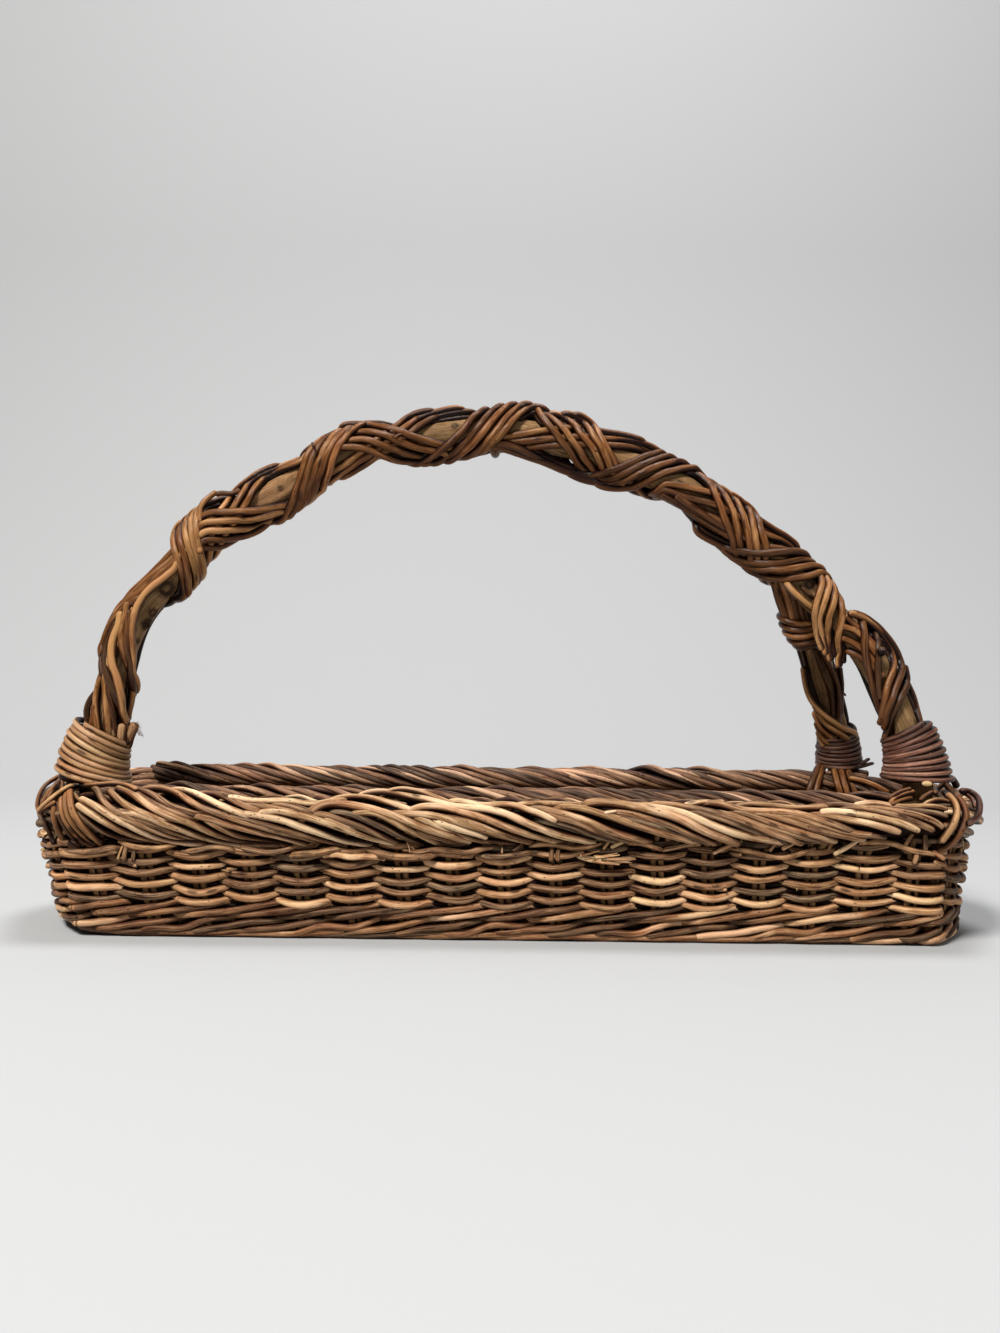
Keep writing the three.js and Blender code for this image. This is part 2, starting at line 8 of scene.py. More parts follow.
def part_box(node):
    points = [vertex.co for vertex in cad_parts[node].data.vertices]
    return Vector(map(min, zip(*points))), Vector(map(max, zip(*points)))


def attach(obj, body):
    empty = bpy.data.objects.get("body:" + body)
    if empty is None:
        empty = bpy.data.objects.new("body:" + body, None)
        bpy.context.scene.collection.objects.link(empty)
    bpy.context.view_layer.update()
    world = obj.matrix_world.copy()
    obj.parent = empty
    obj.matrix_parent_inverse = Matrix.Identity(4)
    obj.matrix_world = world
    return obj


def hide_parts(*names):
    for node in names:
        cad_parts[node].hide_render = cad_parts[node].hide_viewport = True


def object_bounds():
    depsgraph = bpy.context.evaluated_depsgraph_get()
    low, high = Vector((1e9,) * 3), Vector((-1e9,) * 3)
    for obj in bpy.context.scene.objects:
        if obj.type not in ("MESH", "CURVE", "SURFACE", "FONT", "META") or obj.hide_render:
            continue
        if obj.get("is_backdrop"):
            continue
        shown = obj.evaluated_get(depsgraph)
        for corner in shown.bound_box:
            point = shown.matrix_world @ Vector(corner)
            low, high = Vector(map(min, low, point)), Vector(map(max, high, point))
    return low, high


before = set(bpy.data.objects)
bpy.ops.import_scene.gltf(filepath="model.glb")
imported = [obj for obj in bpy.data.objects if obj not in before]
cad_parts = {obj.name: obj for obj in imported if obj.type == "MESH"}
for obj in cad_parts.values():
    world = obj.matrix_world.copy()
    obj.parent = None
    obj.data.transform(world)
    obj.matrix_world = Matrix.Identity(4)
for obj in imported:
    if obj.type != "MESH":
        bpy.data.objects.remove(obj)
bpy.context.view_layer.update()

# ------------------------------------------------------------------ the basket's own measures, in mm
SHIFT = np.array([-2.5, 0.09, 0.0])
WALL_TOP = 60.0
CORNER_X_LEFT = (-209.0, -218.0)
CORNER_X_RIGHT = (217.0, 220.0)
HALF_WIDTH = (42.0, 46.0)
BOW_LEFT = (22.0, 23.0)
BOW_RIGHT = (23.0, 26.0)
STAKES_LONG, STAKES_END = 17, 5
ROPE_Z, ROPE_OUT, ROPE_R = 61.0, 1.0, 11.3
INNER_ROPE_Z, INNER_ROPE_OUT = 69.6, -9.6
CORE_R = 7.2
BOW_LINE = [
    (-213, -14, 11), (-214.6, -14, 40), (-214.9, -14, 68.8), (-214.1, -14, 86.8), (-210.7, -13.5, 99.5),
    (-208.4, -13, 112.2), (-205.7, -12, 124.9), (-203, -11, 137.7), (-199.2, -10, 150.5),
    (-192.8, -9, 163.4), (-183.1, -8, 176.5), (-172.8, -7, 189.2), (-162.6, -6, 201),
    (-152, -6, 210.8), (-141.6, -5, 218), (-130.9, -5, 224), (-120.4, -4, 229.8),
    (-109.7, -4, 236.4), (-99.1, -4, 243.2), (-88.4, -4, 249.2), (-77.7, -4, 253.2),
    (-56.2, -4, 257.6), (-34.8, -4, 260.7), (-13.3, -4, 263.4), (8.2, -4, 263), (29.8, -4, 258.6),
    (51.4, -4, 251.8), (72.8, -5, 243.8), (94.3, -6, 234.2), (105.1, -6, 227), (115.7, -7, 219),
    (126.5, -7, 210.8), (137.1, -8, 202.2), (147.6, -9, 193.2), (158.2, -10, 183.4),
    (168.7, -11, 173.1), (179.1, -12, 162.5), (189, -13, 151.6), (196.6, -14, 141.4),
    (202.4, -15, 130.4), (207.4, -16, 119), (212.5, -17, 107.4), (217, -18, 94.5),
    (219.2, -18, 77), (218, -17, 50), (215.5, -16, 11)]
INNER_LINE = [
    (152, -3, 189), (159.1, 4, 181.4), (166.9, 10, 167), (173.1, 16, 153.5), (178.3, 22, 141.4),
    (182.4, 28, 129), (188.2, 34, 115.3), (193.6, 40, 101.3), (196.5, 45, 84), (197.2, 46.5, 70)]

# the photograph's eye, in the same measures
EYE = np.array([-1.0, -618.5, 137.5])
FOCAL_PX = 1143.0
ROLL = math.radians(0.7)


def seen(px, py, y):
    """The point at depth y (mm) that shows at (px, py) of the 1000 x 1333 frame."""
    dx, dy = px - 500.0, py - 665.0
    u = dx * math.cos(ROLL) + dy * math.sin(ROLL)
    v = dy * math.cos(ROLL) - dx * math.sin(ROLL)
    s = (y - EYE[1]) / FOCAL_PX
    return np.array([EYE[0] + u * s, y, EYE[2] - v * s])


# ------------------------------------------------------------------ small numeric helpers
def rng_of(seed):
    return np.random.default_rng(seed)


def gsmooth(a, sigma, loop=False):
    a = np.asarray(a, float)
    if sigma <= 0 or len(a) < 3:
        return a
    n = int(3 * sigma) + 1
    k = np.exp(-0.5 * (np.arange(-n, n + 1) / sigma) ** 2)
    k /= k.sum()
    if a.ndim == 1:
        p = np.pad(a, n, mode="wrap" if loop else "edge")
        return np.convolve(p, k, mode="valid")
    return np.stack([gsmooth(a[:, i], sigma, loop) for i in range(a.shape[1])], 1)


def unit(v):
    return v / np.maximum(np.linalg.norm(v, axis=-1, keepdims=True), 1e-12)


def smoothstep(x, a, b):
    t = np.clip((np.asarray(x, float) - a) / (b - a), 0, 1)
    return t * t * (3 - 2 * t)


def wander(rng, x, length, amp):
    """A slow random wave over x, about one swing per length."""
    x = np.asarray(x, float)
    out = np.zeros_like(x)
    for k, a in ((1.0, 1.0), (2.3, 0.5), (4.1, 0.28)):
        out += a * np.sin(2 * math.pi * (x * k / length + rng.random()))
    return amp * out / 1.4


def spline(points, step):
    """Points every step mm along a smooth curve through the given ones."""
    p = np.asarray(points, float)
    if len(p) == 2:
        n = max(2, int(np.linalg.norm(p[1] - p[0]) / step) + 1)
        return p[0] + (p[1] - p[0]) * np.linspace(0, 1, n)[:, None]
    ext = np.vstack([2 * p[0] - p[1], p, 2 * p[-1] - p[-2]])
    out = []
    for i in range(1, len(ext) - 2):
        a, b, c, d = ext[i - 1:i + 3]
        t0, t1 = 0.0, max(np.linalg.norm(b - a), 1e-6) ** 0.5
        t2 = t1 + max(np.linalg.norm(c - b), 1e-6) ** 0.5
        t3 = t2 + max(np.linalg.norm(d - c), 1e-6) ** 0.5
        t = np.linspace(t1, t2, 14, endpoint=False)[:, None]
        a1 = (t1 - t) / (t1 - t0) * a + (t - t0) / (t1 - t0) * b
        a2 = (t2 - t) / (t2 - t1) * b + (t - t1) / (t2 - t1) * c
        a3 = (t3 - t) / (t3 - t2) * c + (t - t2) / (t3 - t2) * d
        b1 = (t2 - t) / (t2 - t0) * a1 + (t - t0) / (t2 - t0) * a2
        b2 = (t3 - t) / (t3 - t1) * a2 + (t - t1) / (t3 - t1) * a3
        out.append((t2 - t) / (t2 - t1) * b1 + (t - t1) / (t2 - t1) * b2)
    q = np.vstack(out + [p[-1:]])
    return even(q, step)


def even(q, step):
    s = np.concatenate([[0], np.cumsum(np.linalg.norm(np.diff(q, axis=0), axis=1))])
    n = max(2, int(round(s[-1] / step)) + 1)
    t = np.linspace(0, s[-1], n)
    return np.stack([np.interp(t, s, q[:, i]) for i in range(q.shape[1])], 1)


# ------------------------------------------------------------------ a mesh of many rods
class Rods:
    """Rods, each a closed tube, gathered in one mesh with the values that the bark material reads:
    rc (along the rod and across it, in mm), tone, wear (how far each point faces out: worn there, painted shade on the
    sides turned away), cut and mark."""

    def __init__(self):
        self.co, self.rc, self.val = [], [], []
        self.faces, self.uv, self.count = [], [], []
        self.nv = 0
        self.tape = 0.0
        self.width = 1.0

    def add(self, path, radius, ref, tone, seed, sides=10, ends=("round", "round"), flat=1.0,
            wear=None, rough=0.03, mark=None, slant=(0.9, 0.9), even=False, facing=None):
        """path (n,3) in mm; ref (3,) or (n,3), the direction that faces out, where wear and a painted highlight show;
        the sides turned from it get painted shade.
        """
        rng = rng_of(seed)
        P = np.asarray(path, float)
        n = len(P)
        R = np.broadcast_to(np.asarray(radius, float), (n,)).copy()
        T = unit(np.gradient(P, axis=0))
        ref = np.broadcast_to(np.asarray(ref, float), (n, 3))
        N = unit(ref - T * np.sum(ref * T, 1, keepdims=True))
        B = np.cross(T, N)
        s = np.concatenate([[0], np.cumsum(np.linalg.norm(np.diff(P, axis=0), axis=1))])
        R *= 1 + rough * (wander(rng, s, 23.0, 0.6) + wander(rng, s, 9.0, 0.35))
        tone = np.broadcast_to(np.asarray(tone, float), (n,))
        wear = np.ones(n) if wear is None else np.broadcast_to(np.asarray(wear, float), (n,))
        # rings: the rod itself, with extra ones for its ends
        rings_c, rings_r, rings_s, idx = [], [], [], []
        shear = []
        if ends[0] == "round":
            for d, f in ((-0.62, 0.5), (-0.34, 0.86)):
                rings_c.append(P[0] + T[0] * d * R[0]); rings_r.append(R[0] * f); rings_s.append(s[0] + d * R[0]); idx.append(0); shear.append(0.0)
        elif ends[0] in ("flat", "cut"):
            rings_c.append(P[0] - T[0] * 0.10 * R[0]); rings_r.append(R[0] * 0.88); rings_s.append(s[0] - 0.1 * R[0]); idx.append(0)
            shear.append(slant[0] if ends[0] == "cut" else 0.0)
        for i in range(n):
            rings_c.append(P[i]); rings_r.append(R[i]); rings_s.append(s[i]); idx.append(i)
            k = 0.0
            if ends[0] == "cut" and i == 0:
                k = slant[0]
            if ends[1] == "cut" and i == n - 1:
                k = slant[1]
            shear.append(k)
        if ends[1] == "round":
            for d, f in ((0.34, 0.86), (0.62, 0.5)):
                rings_c.append(P[-1] + T[-1] * d * R[-1]); rings_r.append(R[-1] * f); rings_s.append(s[-1] + d * R[-1]); idx.append(n - 1); shear.append(0.0)
        elif ends[1] in ("flat", "cut"):
            rings_c.append(P[-1] + T[-1] * 0.10 * R[-1]); rings_r.append(R[-1] * 0.88); rings_s.append(s[-1] + 0.1 * R[-1]); idx.append(n - 1)
            shear.append(slant[1] if ends[1] == "cut" else 0.0)
        idx = np.array(idx)
        C, RR, SS, SH = np.array(rings_c), np.array(rings_r), np.array(rings_s), np.array(shear)
        m = len(idx)
        th = 2 * math.pi * np.arange(sides) / sides
        ct, st = np.cos(th), np.sin(th)
        offs = RR[:, None, None] * (flat * ct[None, :, None] * N[idx][:, None, :] + st[None, :, None] * B[idx][:, None, :])
        V = C[:, None, :] + offs + (SH * RR)[:, None, None] * ct[None, :, None] * T[idx][:, None, :]
        V = V.reshape(-1, 3)
        off = rng.random(3) * np.array([4000.0, 60.0, 60.0])
        rc = np.empty((m, sides, 3))
        rc[:, :, 0] = SS[:, None] + off[0]
        rc[:, :, 1] = RR[:, None] * ct + off[1]
        rc[:, :, 2] = RR[:, None] * st + off[2]
        out_ = np.ones(n) if facing is None else np.asarray(facing, float)      # -1 where the rod is seen from the other side
        # how far each point faces out, read by the bark for wear, for painted shade on the sides and for a painted
        # highlight on the crest
        w = np.clip(0.5 + 0.62 * ct[None, :] * out_[idx][:, None] + (1.0 if even else 0.0), 0, 1) * wear[idx][:, None]
        # the far strokes seen through the gaps: their outer side is kept in painted shade, lifted a little towards the
        # crest
        if facing is not None:      # the far strokes, seen through the gaps
            w = np.where((ct[None, :] > 0.15) & (out_[idx][:, None] < 0.6), np.maximum(w, 0.66 * ct[None, :]), w)
        val = np.zeros((m, sides, 4))
        val[:, :, 0] = tone[idx][:, None]
        val[:, :, 1] = w
        val[:, :, 3] = 0.0 if mark is None else np.asarray(mark, float)[idx][:, None]
        base = self.nv
        # quads
        k = np.arange(sides)
        k2 = (k + 1) % sides
        a = (np.arange(m - 1)[:, None] * sides + k[None, :])
        b = (np.arange(m - 1)[:, None] * sides + k2[None, :])
        quads = np.stack([a, b, b + sides, a + sides], -1).reshape(-1, 4) + base
        tape0 = self.tape
        circ = 2 * math.pi * R.max() * 1.02
        self.width = max(self.width, circ)
        u0 = (k / sides * circ)[None, :].repeat(m - 1, 0)
        u1 = ((k + 1) / sides * circ)[None, :].repeat(m - 1, 0)
        s_lo = (tape0 + 0.8 + SS[:-1] - SS[0])[:, None].repeat(sides, 1)
        s_hi = (tape0 + 0.8 + SS[1:] - SS[0])[:, None].repeat(sides, 1)
        # each quad keeps the start of its strip, which column it goes to follows from that
        uv = np.stack([np.stack([u0, s_lo, s_lo], -1), np.stack([u1, s_lo, s_lo], -1),
                       np.stack([u1, s_hi, s_lo], -1), np.stack([u0, s_hi, s_lo], -1)], 2).reshape(-1, 4, 3)
        # ends
        caps, cap_uv = [], []
        extra_v, extra_rc, extra_val = [], [], []
        s_end = tape0 + 0.8 + SS[-1] - SS[0] + 0.8
        for which, ring in ((0, 0), (1, m - 1)):
            centre = C[ring]
            rr = RR[ring]
            tip = centre + (T[0] * -0.12 * rr if which == 0 else T[-1] * 0.12 * rr) * (1 if ends[which] == "round" else 0)
            extra_v.append(tip)
            extra_rc.append(rc[ring].mean(0))
            cut = 1.0 if ends[which] == "cut" else 0.0
            extra_val.append([tone[0 if which == 0 else -1], 0.6, cut, 0.0])
            if cut:
                val[ring, :, 2] = 1.0
            ci = base + m * sides + which
            cs = s_end + rr + which * (2 * rr + 0.6)
            for q in range(sides):
                i0, i1 = base + ring * sides + q, base + ring * sides + (q + 1) % sides
                a0, a1 = th[q], th[(q + 1) % sides]
                p0 = (rr + 0.2 + rr * math.cos(a0), cs + rr * math.sin(a0), s_end)
                p1 = (rr + 0.2 + rr * math.cos(a1), cs + rr * math.sin(a1), s_end)
                pc = (rr + 0.2, cs, s_end)
                if which == 0:
                    caps.append((i1, i0, ci)); cap_uv.append((p1, p0, pc))
                else:
                    caps.append((i0, i1, ci)); cap_uv.append((p0, p1, pc))
        self.tape = s_end + 4 * RR.max() + 1.6
        self.co.append(V); self.co.append(np.array(extra_v))
        self.rc.append(rc.reshape(-1, 3)); self.rc.append(np.array(extra_rc))
        self.val.append(val.reshape(-1, 4)); self.val.append(np.array(extra_val))
        self.faces.append(quads.ravel()); self.count.append(np.full(len(quads), 4))
        self.uv.append(uv.reshape(-1, 3))
        self.faces.append(np.array(caps).ravel() if caps else np.zeros(0, int)); self.count.append(np.full(len(caps), 3))
        self.uv.append(np.array(cap_uv).reshape(-1, 3))
        self.nv += len(V) + len(extra_v)
        return s

    def build(self, name, material):
        co = (np.vstack(self.co) + SHIFT) / 1000.0
        faces = np.concatenate(self.faces).astype(np.int32)
        count = np.concatenate(self.count).astype(np.int32)
        start = np.concatenate([[0], np.cumsum(count)[:-1]]).astype(np.int32)
        mesh = bpy.data.meshes.new(name)
        mesh.vertices.add(len(co))
        mesh.vertices.foreach_set("co", co.astype(np.float32).ravel())
        mesh.loops.add(len(faces))
        mesh.loops.foreach_set("vertex_index", faces)
        mesh.polygons.add(len(count))
        mesh.polygons.foreach_set("loop_start", start)
        mesh.update(calc_edges=True)
        mesh.polygons.foreach_set("use_smooth", np.ones(len(count), bool))
        rc = mesh.attributes.new("rc", "FLOAT_VECTOR", "POINT")
        rc.data.foreach_set("vector", np.vstack(self.rc).astype(np.float32).ravel())
        val = np.vstack(self.val)
        for i, key in enumerate(("tone", "wear", "cut", "mark")):
            at = mesh.attributes.new(key, "FLOAT", "POINT")
            at.data.foreach_set("value", val[:, i].astype(np.float32))
        # the strips laid side by side in a square
        uv = np.vstack(self.uv)
        width = self.width + 1.0
        side = math.sqrt(self.tape * width)
        for _ in range(200):
            if math.ceil(self.tape / (side - 26)) * width <= side - 1:
                break
            side *= 1.01
        column = np.floor(uv[:, 2] / (side - 26))
        out = np.stack([(uv[:, 0] + column * width + 0.5) / side, (uv[:, 1] - column * (side - 26) + 1.0) / side], 1)
        layer = mesh.uv_layers.new(name="OFBake")
        layer.data.foreach_set("uv", np.clip(out, 0, 1).astype(np.float32).ravel())
        mesh.materials.append(material)
        obj = bpy.data.objects.new(name, mesh)
        bpy.context.scene.collection.objects.link(obj)
        return obj


# ------------------------------------------------------------------ materials
def lin(r, g, b):
    out = []
    for c in (r, g, b):
        c /= 255.0
        out.append(c / 12.92 if c <= 0.04045 else ((c + 0.055) / 1.055) ** 2.4)
    return (*out, 1.0)


def bark(name, stops, worn, rough=0.55, worn_share=0.35, speck=1.0, streak=0.3, blotch=0.42, bump=0.35, specular=0.35, dirt_and_shade=(20, 12, 8), half=(74, 32, 12), grey=0.0, gain=(1.0, 1.0, 1.0), scuffs=0.4, crest=0.22):
    """Willow bark: colour ramp by rod, streaks along the rod, blotches, dark specks, worn outer side, painted shade
    with some dirt on the sides of each rod, and a painted highlight along its crest.
    """
    m = bpy.data.materials.new(name)
    m.use_nodes = True
    nt = m.node_tree
    N, L = nt.nodes, nt.links
    N.clear()

    def tinted(*c):
        c = lin(*c)
        return (min(c[0] * gain[0], 1.0), min(c[1] * gain[1], 1.0), min(c[2] * gain[2], 1.0), 1.0)

    out = N.new("ShaderNodeOutputMaterial")
    bs = N.new("ShaderNodeBsdfPrincipled")
    L.new(bs.outputs[0], out.inputs[0])
    bs.inputs["Specular IOR Level"].default_value = specular
    bs.inputs["IOR"].default_value = 1.28

    def attr(key, socket):
        a = N.new("ShaderNodeAttribute")
        a.attribute_type = "GEOMETRY"
        a.attribute_name = key
        return a.outputs[socket]

    def math_(op, a, b=None, c=None, clamp=False):
        x = N.new("ShaderNodeMath")
        x.operation = op
        x.use_clamp = clamp
        for i, v in enumerate((a, b, c)):
            if v is None:
                continue
            if isinstance(v, (int, float)):
                x.inputs[i].default_value = v
            else:
                L.new(v, x.inputs[i])
        return x.outputs[0]

    def scaled(vec, s):
        x = N.new("ShaderNodeVectorMath")
        x.operation = "MULTIPLY"
        L.new(vec, x.inputs[0])
        x.inputs[1].default_value = s
        return x.outputs[0]

    def noise(vec, scale, detail=3.0, rough_=0.55, dist=0.0):
        x = N.new("ShaderNodeTexNoise")
        x.noise_dimensions = "3D"
        L.new(scaled(vec, scale), x.inputs["Vector"])
        x.inputs["Scale"].default_value = 1.0
        x.inputs["Detail"].default_value = detail
        x.inputs["Roughness"].default_value = rough_
        x.inputs["Distortion"].default_value = dist
        return x.outputs["Fac"]

    def ramp(fac, points, interp="LINEAR"):
        x = N.new("ShaderNodeValToRGB")
        x.color_ramp.interpolation = interp
        el = x.color_ramp.elements
        while len(el) > 1:
            el.remove(el[-1])
        el[0].position, el[0].color = points[0]
        for p, c in points[1:]:
            e = el.new(p)
            e.color = c
        L.new(fac, x.inputs[0])
        return x.outputs[0]

    def mixc(fac, a, b, mode="MIX"):
        x = N.new("ShaderNodeMix")
        x.data_type = "RGBA"
        x.blend_type = mode
        if isinstance(fac, (int, float)):
            x.inputs[0].default_value = fac
        else:
            L.new(fac, x.inputs[0])
        for i, v in ((6, a), (7, b)):
            if isinstance(v, tuple):
                x.inputs[i].default_value = v
            else:
                L.new(v, x.inputs[i])
        return x.outputs[2]

    rc = attr("rc", "Vector")
    tone, wear, cut, mark = attr("tone", "Fac"), attr("wear", "Fac"), attr("cut", "Fac"), attr("mark", "Fac")
    n_streak = noise(rc, (0.07, 1.5, 1.5), 4, 0.6, 0.3)
    n_fine = noise(rc, (0.35, 4.0, 4.0), 3, 0.6)
    n_blotch = noise(rc, (0.055, 0.16, 0.16), 3, 0.6, 0.8)
    n_slow = noise(rc, (0.012, 0.02, 0.02), 2, 0.5)
    n_hue = noise(rc, (0.024, 0.021, 0.021), 2, 0.5)
    # colour
    t = math_("ADD", tone, math_("MULTIPLY", math_("SUBTRACT", n_streak, 0.5), streak))
    t = math_("ADD", t, math_("MULTIPLY", math_("SUBTRACT", n_blotch, 0.5), blotch))
    t = math_("ADD", t, math_("MULTIPLY", math_("SUBTRACT", n_slow, 0.5), 0.28))
    t = math_("ADD", t, math_("MULTIPLY", math_("SUBTRACT", n_fine, 0.5), 0.22))
    # the crest lighter and the sides darker: partly worn bark, partly a painted highlight and painted shade
    t = math_("ADD", t, math_("MULTIPLY", math_("SUBTRACT", math_("MULTIPLY", wear, wear), 0.60), crest), None, True)
    col = ramp(t, [(p, tinted(*c)) for p, c in stops])
    # some rods are more olive, others redder
    col = mixc(1.0, col, ramp(n_hue, [(0.30, (0.90, 0.93, 0.80, 1)), (0.44, (0.98, 0.98, 0.93, 1)), (0.56, (1.0, 0.96, 0.95, 1)), (0.70, (1.0, 0.83, 0.76, 1))]), "MULTIPLY")
    if grey:
        g = ramp(n_blotch, [(0.45, (0, 0, 0, 1)), (0.62, (grey, grey, grey, 1))])
        col = mixc(g, col, lin(128, 116, 100))
    # worn, bleached outer side
    wn = math_("MULTIPLY", math_("POWER", wear, 1.6), ramp(n_streak, [(0.36, (0, 0, 0, 1)), (0.62, (1, 1, 1, 1))]))
    col = mixc(math_("MULTIPLY", wn, worn_share), col, tinted(*worn))
    # painted shade, with some dirt, on the sides that face into the work: darkest where a rod meets its neighbours
    dirt_and_shade_mask = ramp(wear, [(0.10, (0.99, 0.99, 0.99, 1)), (0.48, (0.95, 0.95, 0.95, 1)), (0.66, (0.80, 0.80, 0.80, 1)), (0.80, (0.45, 0.45, 0.45, 1)), (0.91, (0.13, 0.13, 0.13, 1)), (0.99, (0, 0, 0, 1))])
    col = mixc(dirt_and_shade_mask, col, ramp(wear, [(0.50, lin(*dirt_and_shade)), (0.80, lin(*half))]))
    # lenticels and dark specks
    vo = N.new("ShaderNodeTexVoronoi")
    L.new(scaled(rc, (0.33, 0.62, 0.62)), vo.inputs["Vector"])
    vo.inputs["Scale"].default_value = 1.0
    pick = math_("GREATER_THAN", vo.outputs["Color"], 0.62)
    spot = ramp(vo.outputs["Distance"], [(0.10, (1, 1, 1, 1)), (0.22, (0, 0, 0, 1))])
    col = mixc(math_("MULTIPLY", math_("MULTIPLY", spot, pick), speck), col, lin(34, 20, 14))
    vk = N.new("ShaderNodeTexVoronoi")
    L.new(scaled(rc, (0.055, 0.2, 0.2)), vk.inputs["Vector"])
    vk.inputs["Scale"].default_value = 1.0
    knot = ramp(vk.outputs["Distance"], [(0.10, (1, 1, 1, 1)), (0.19, (0, 0, 0, 1))])
    col = mixc(math_("MULTIPLY", knot, 0.75), col, lin(38, 22, 15))
    # scuffs where the bark is gone
    scuff = ramp(noise(rc, (0.16, 0.5, 0.5), 5, 0.72), [(0.66, (0, 0, 0, 1)), (0.70, (1, 1, 1, 1))])
    col = mixc(math_("MULTIPLY", math_("MULTIPLY", scuff, wear), scuffs), col, tinted(*[min(255, 1.08 * v) for v in worn]))
    col = mixc(math_("MULTIPLY", mark, 0.88), col, lin(30, 19, 14))
    # cut wood
    cutc = mixc(n_fine, lin(196, 158, 104), lin(228, 202, 150))
    col = mixc(cut, col, cutc)
    L.new(col, bs.inputs["Base Color"])
    r = math_("ADD", rough, math_("MULTIPLY", math_("SUBTRACT", n_blotch, 0.5), 0.30))
    r = math_("ADD", r, math_("MULTIPLY", math_("SUBTRACT", n_fine, 0.5), 0.18), None, True)
    L.new(r, bs.inputs["Roughness"])
    h = math_("ADD", math_("MULTIPLY", n_streak, 0.6), math_("MULTIPLY", n_fine, 0.4))
    h = math_("ADD", h, math_("MULTIPLY", knot, 0.6))
    h = math_("SUBTRACT", h, math_("MULTIPLY", math_("MULTIPLY", spot, pick), 0.25))
    bu = N.new("ShaderNodeBump")
    bu.inputs["Strength"].default_value = bump
    bu.inputs["Distance"].default_value = 0.0006
    L.new(h, bu.inputs["Height"])
    L.new(bu.outputs[0], bs.inputs["Normal"])
    return m


WEAVE = bark("weave_bark", [(0.0, (24, 8, 2)), (0.22, (48, 21, 9)), (0.45, (90, 53, 27)), (0.70, (162, 118, 80)), (1.0, (244, 210, 168))], (238, 204, 162), streak=0.52, blotch=0.60, worn_share=0.30, rough=0.50, specular=0.26, dirt_and_shade=(26, 8, 2), bump=0.55, scuffs=0.3, gain=(0.97, 0.905, 0.86))
WALE = bark("wale_bark", [(0.0, (20, 5, 1)), (0.22, (42, 17, 6)), (0.45, (76, 40, 18)), (0.70, (146, 104, 70)), (1.0, (238, 206, 170))], (226, 192, 152), streak=0.54, blotch=0.62, worn_share=0.26, rough=0.50, specular=0.24, dirt_and_shade=(20, 5, 1), bump=0.55, scuffs=0.3, gain=(0.84, 0.74, 0.68))
STAKE = bark("stake_bark", [(0.0, (16, 6, 2)), (0.35, (44, 23, 11)), (0.65, (84, 54, 32)), (1.0, (160, 122, 84))], (160, 124, 86), worn_share=0.2, rough=0.6, specular=0.2, dirt_and_shade=(16, 4, 1), scuffs=0.2)
BORDER = bark("border_bark", [(0.0, (22, 6, 2)), (0.20, (40, 15, 5)), (0.42, (80, 42, 18)), (0.68, (152, 113, 76)), (1.0, (246, 222, 190))], (236, 210, 174), streak=0.60, blotch=0.66, worn_share=0.33, rough=0.48, specular=0.26, dirt_and_shade=(26, 7, 2), bump=0.55, scuffs=0.35, gain=(0.84, 0.75, 0.675))
INNER = bark("inner_border_bark", [(0.0, (16, 4, 2)), (0.22, (34, 14, 7)), (0.46, (66, 38, 24)), (0.74, (130, 97, 73)), (1.0, (204, 174, 146))], (198, 168, 140), streak=0.56, blotch=0.64, worn_share=0.26, rough=0.50, specular=0.26, dirt_and_shade=(16, 4, 2), half=(44, 16, 6), bump=0.55, scuffs=0.3, crest=0.34, gain=(0.92, 0.83, 0.79))
HANDLE = bark("handle_bark", [(0.0, (16, 4, 1)), (0.24, (36, 13, 3)), (0.48, (64, 30, 8)), (0.74, (112, 69, 32)), (1.0, (192, 148, 102))], (188, 148, 106), streak=0.48, blotch=0.58, worn_share=0.18, rough=0.34, specular=0.46, dirt_and_shade=(16, 3, 1), half=(46, 17, 4), bump=0.5, scuffs=0.25, crest=0.36, gain=(0.81, 0.73, 0.65))
TIE = bark("tie_bark", [(0.0, (26, 8, 2)), (0.24, (60, 28, 9)), (0.48, (104, 64, 29)), (0.74, (156, 112, 68)), (1.0, (222, 184, 138))], (216, 178, 134), streak=0.48, blotch=0.56, worn_share=0.22, rough=0.42, specular=0.32, dirt_and_shade=(24, 7, 2), half=(60, 26, 9), bump=0.5, scuffs=0.3, gain=(0.70, 0.62, 0.60))
CORE = bark("core_bark", [(0.0, (40, 21, 9)), (0.35, (88, 60, 35)), (0.65, (138, 105, 70)), (1.0, (202, 168, 128))], (200, 168, 130), worn_share=0.25, rough=0.6, specular=0.22, streak=0.66, blotch=0.66, bump=0.8, speck=0.4, dirt_and_shade=(24, 9, 4), half=(54, 32, 18), scuffs=0.25, gain=(0.82, 0.80, 0.76))
REDBIND = bark("dark_binding_bark", [(0.0, (14, 3, 1)), (0.28, (32, 12, 6)), (0.54, (64, 33, 23)), (0.80, (124, 90, 73)), (1.0, (204, 172, 154))], (196, 162, 144), streak=0.54, blotch=0.64, worn_share=0.28, rough=0.38, specular=0.42, speck=0.7, dirt_and_shade=(14, 3, 1), half=(36, 14, 8), bump=0.5, scuffs=0.45, crest=0.48, gain=(0.84, 0.70, 0.64))
PALEBIND = bark("pale_binding_bark", [(0.0, (50, 24, 8)), (0.33, (98, 61, 30)), (0.68, (158, 118, 78)), (1.0, (218, 184, 146))], (214, 180, 144), streak=0.44, blotch=0.54, worn_share=0.26, rough=0.44, specular=0.36, dirt_and_shade=(34, 12, 3), half=(80, 42, 16), bump=0.5, scuffs=0.3, gain=(0.96, 0.94, 0.95))

# ------------------------------------------------------------------ the wall's outline
ORDER = ("front", "right", "back", "left")


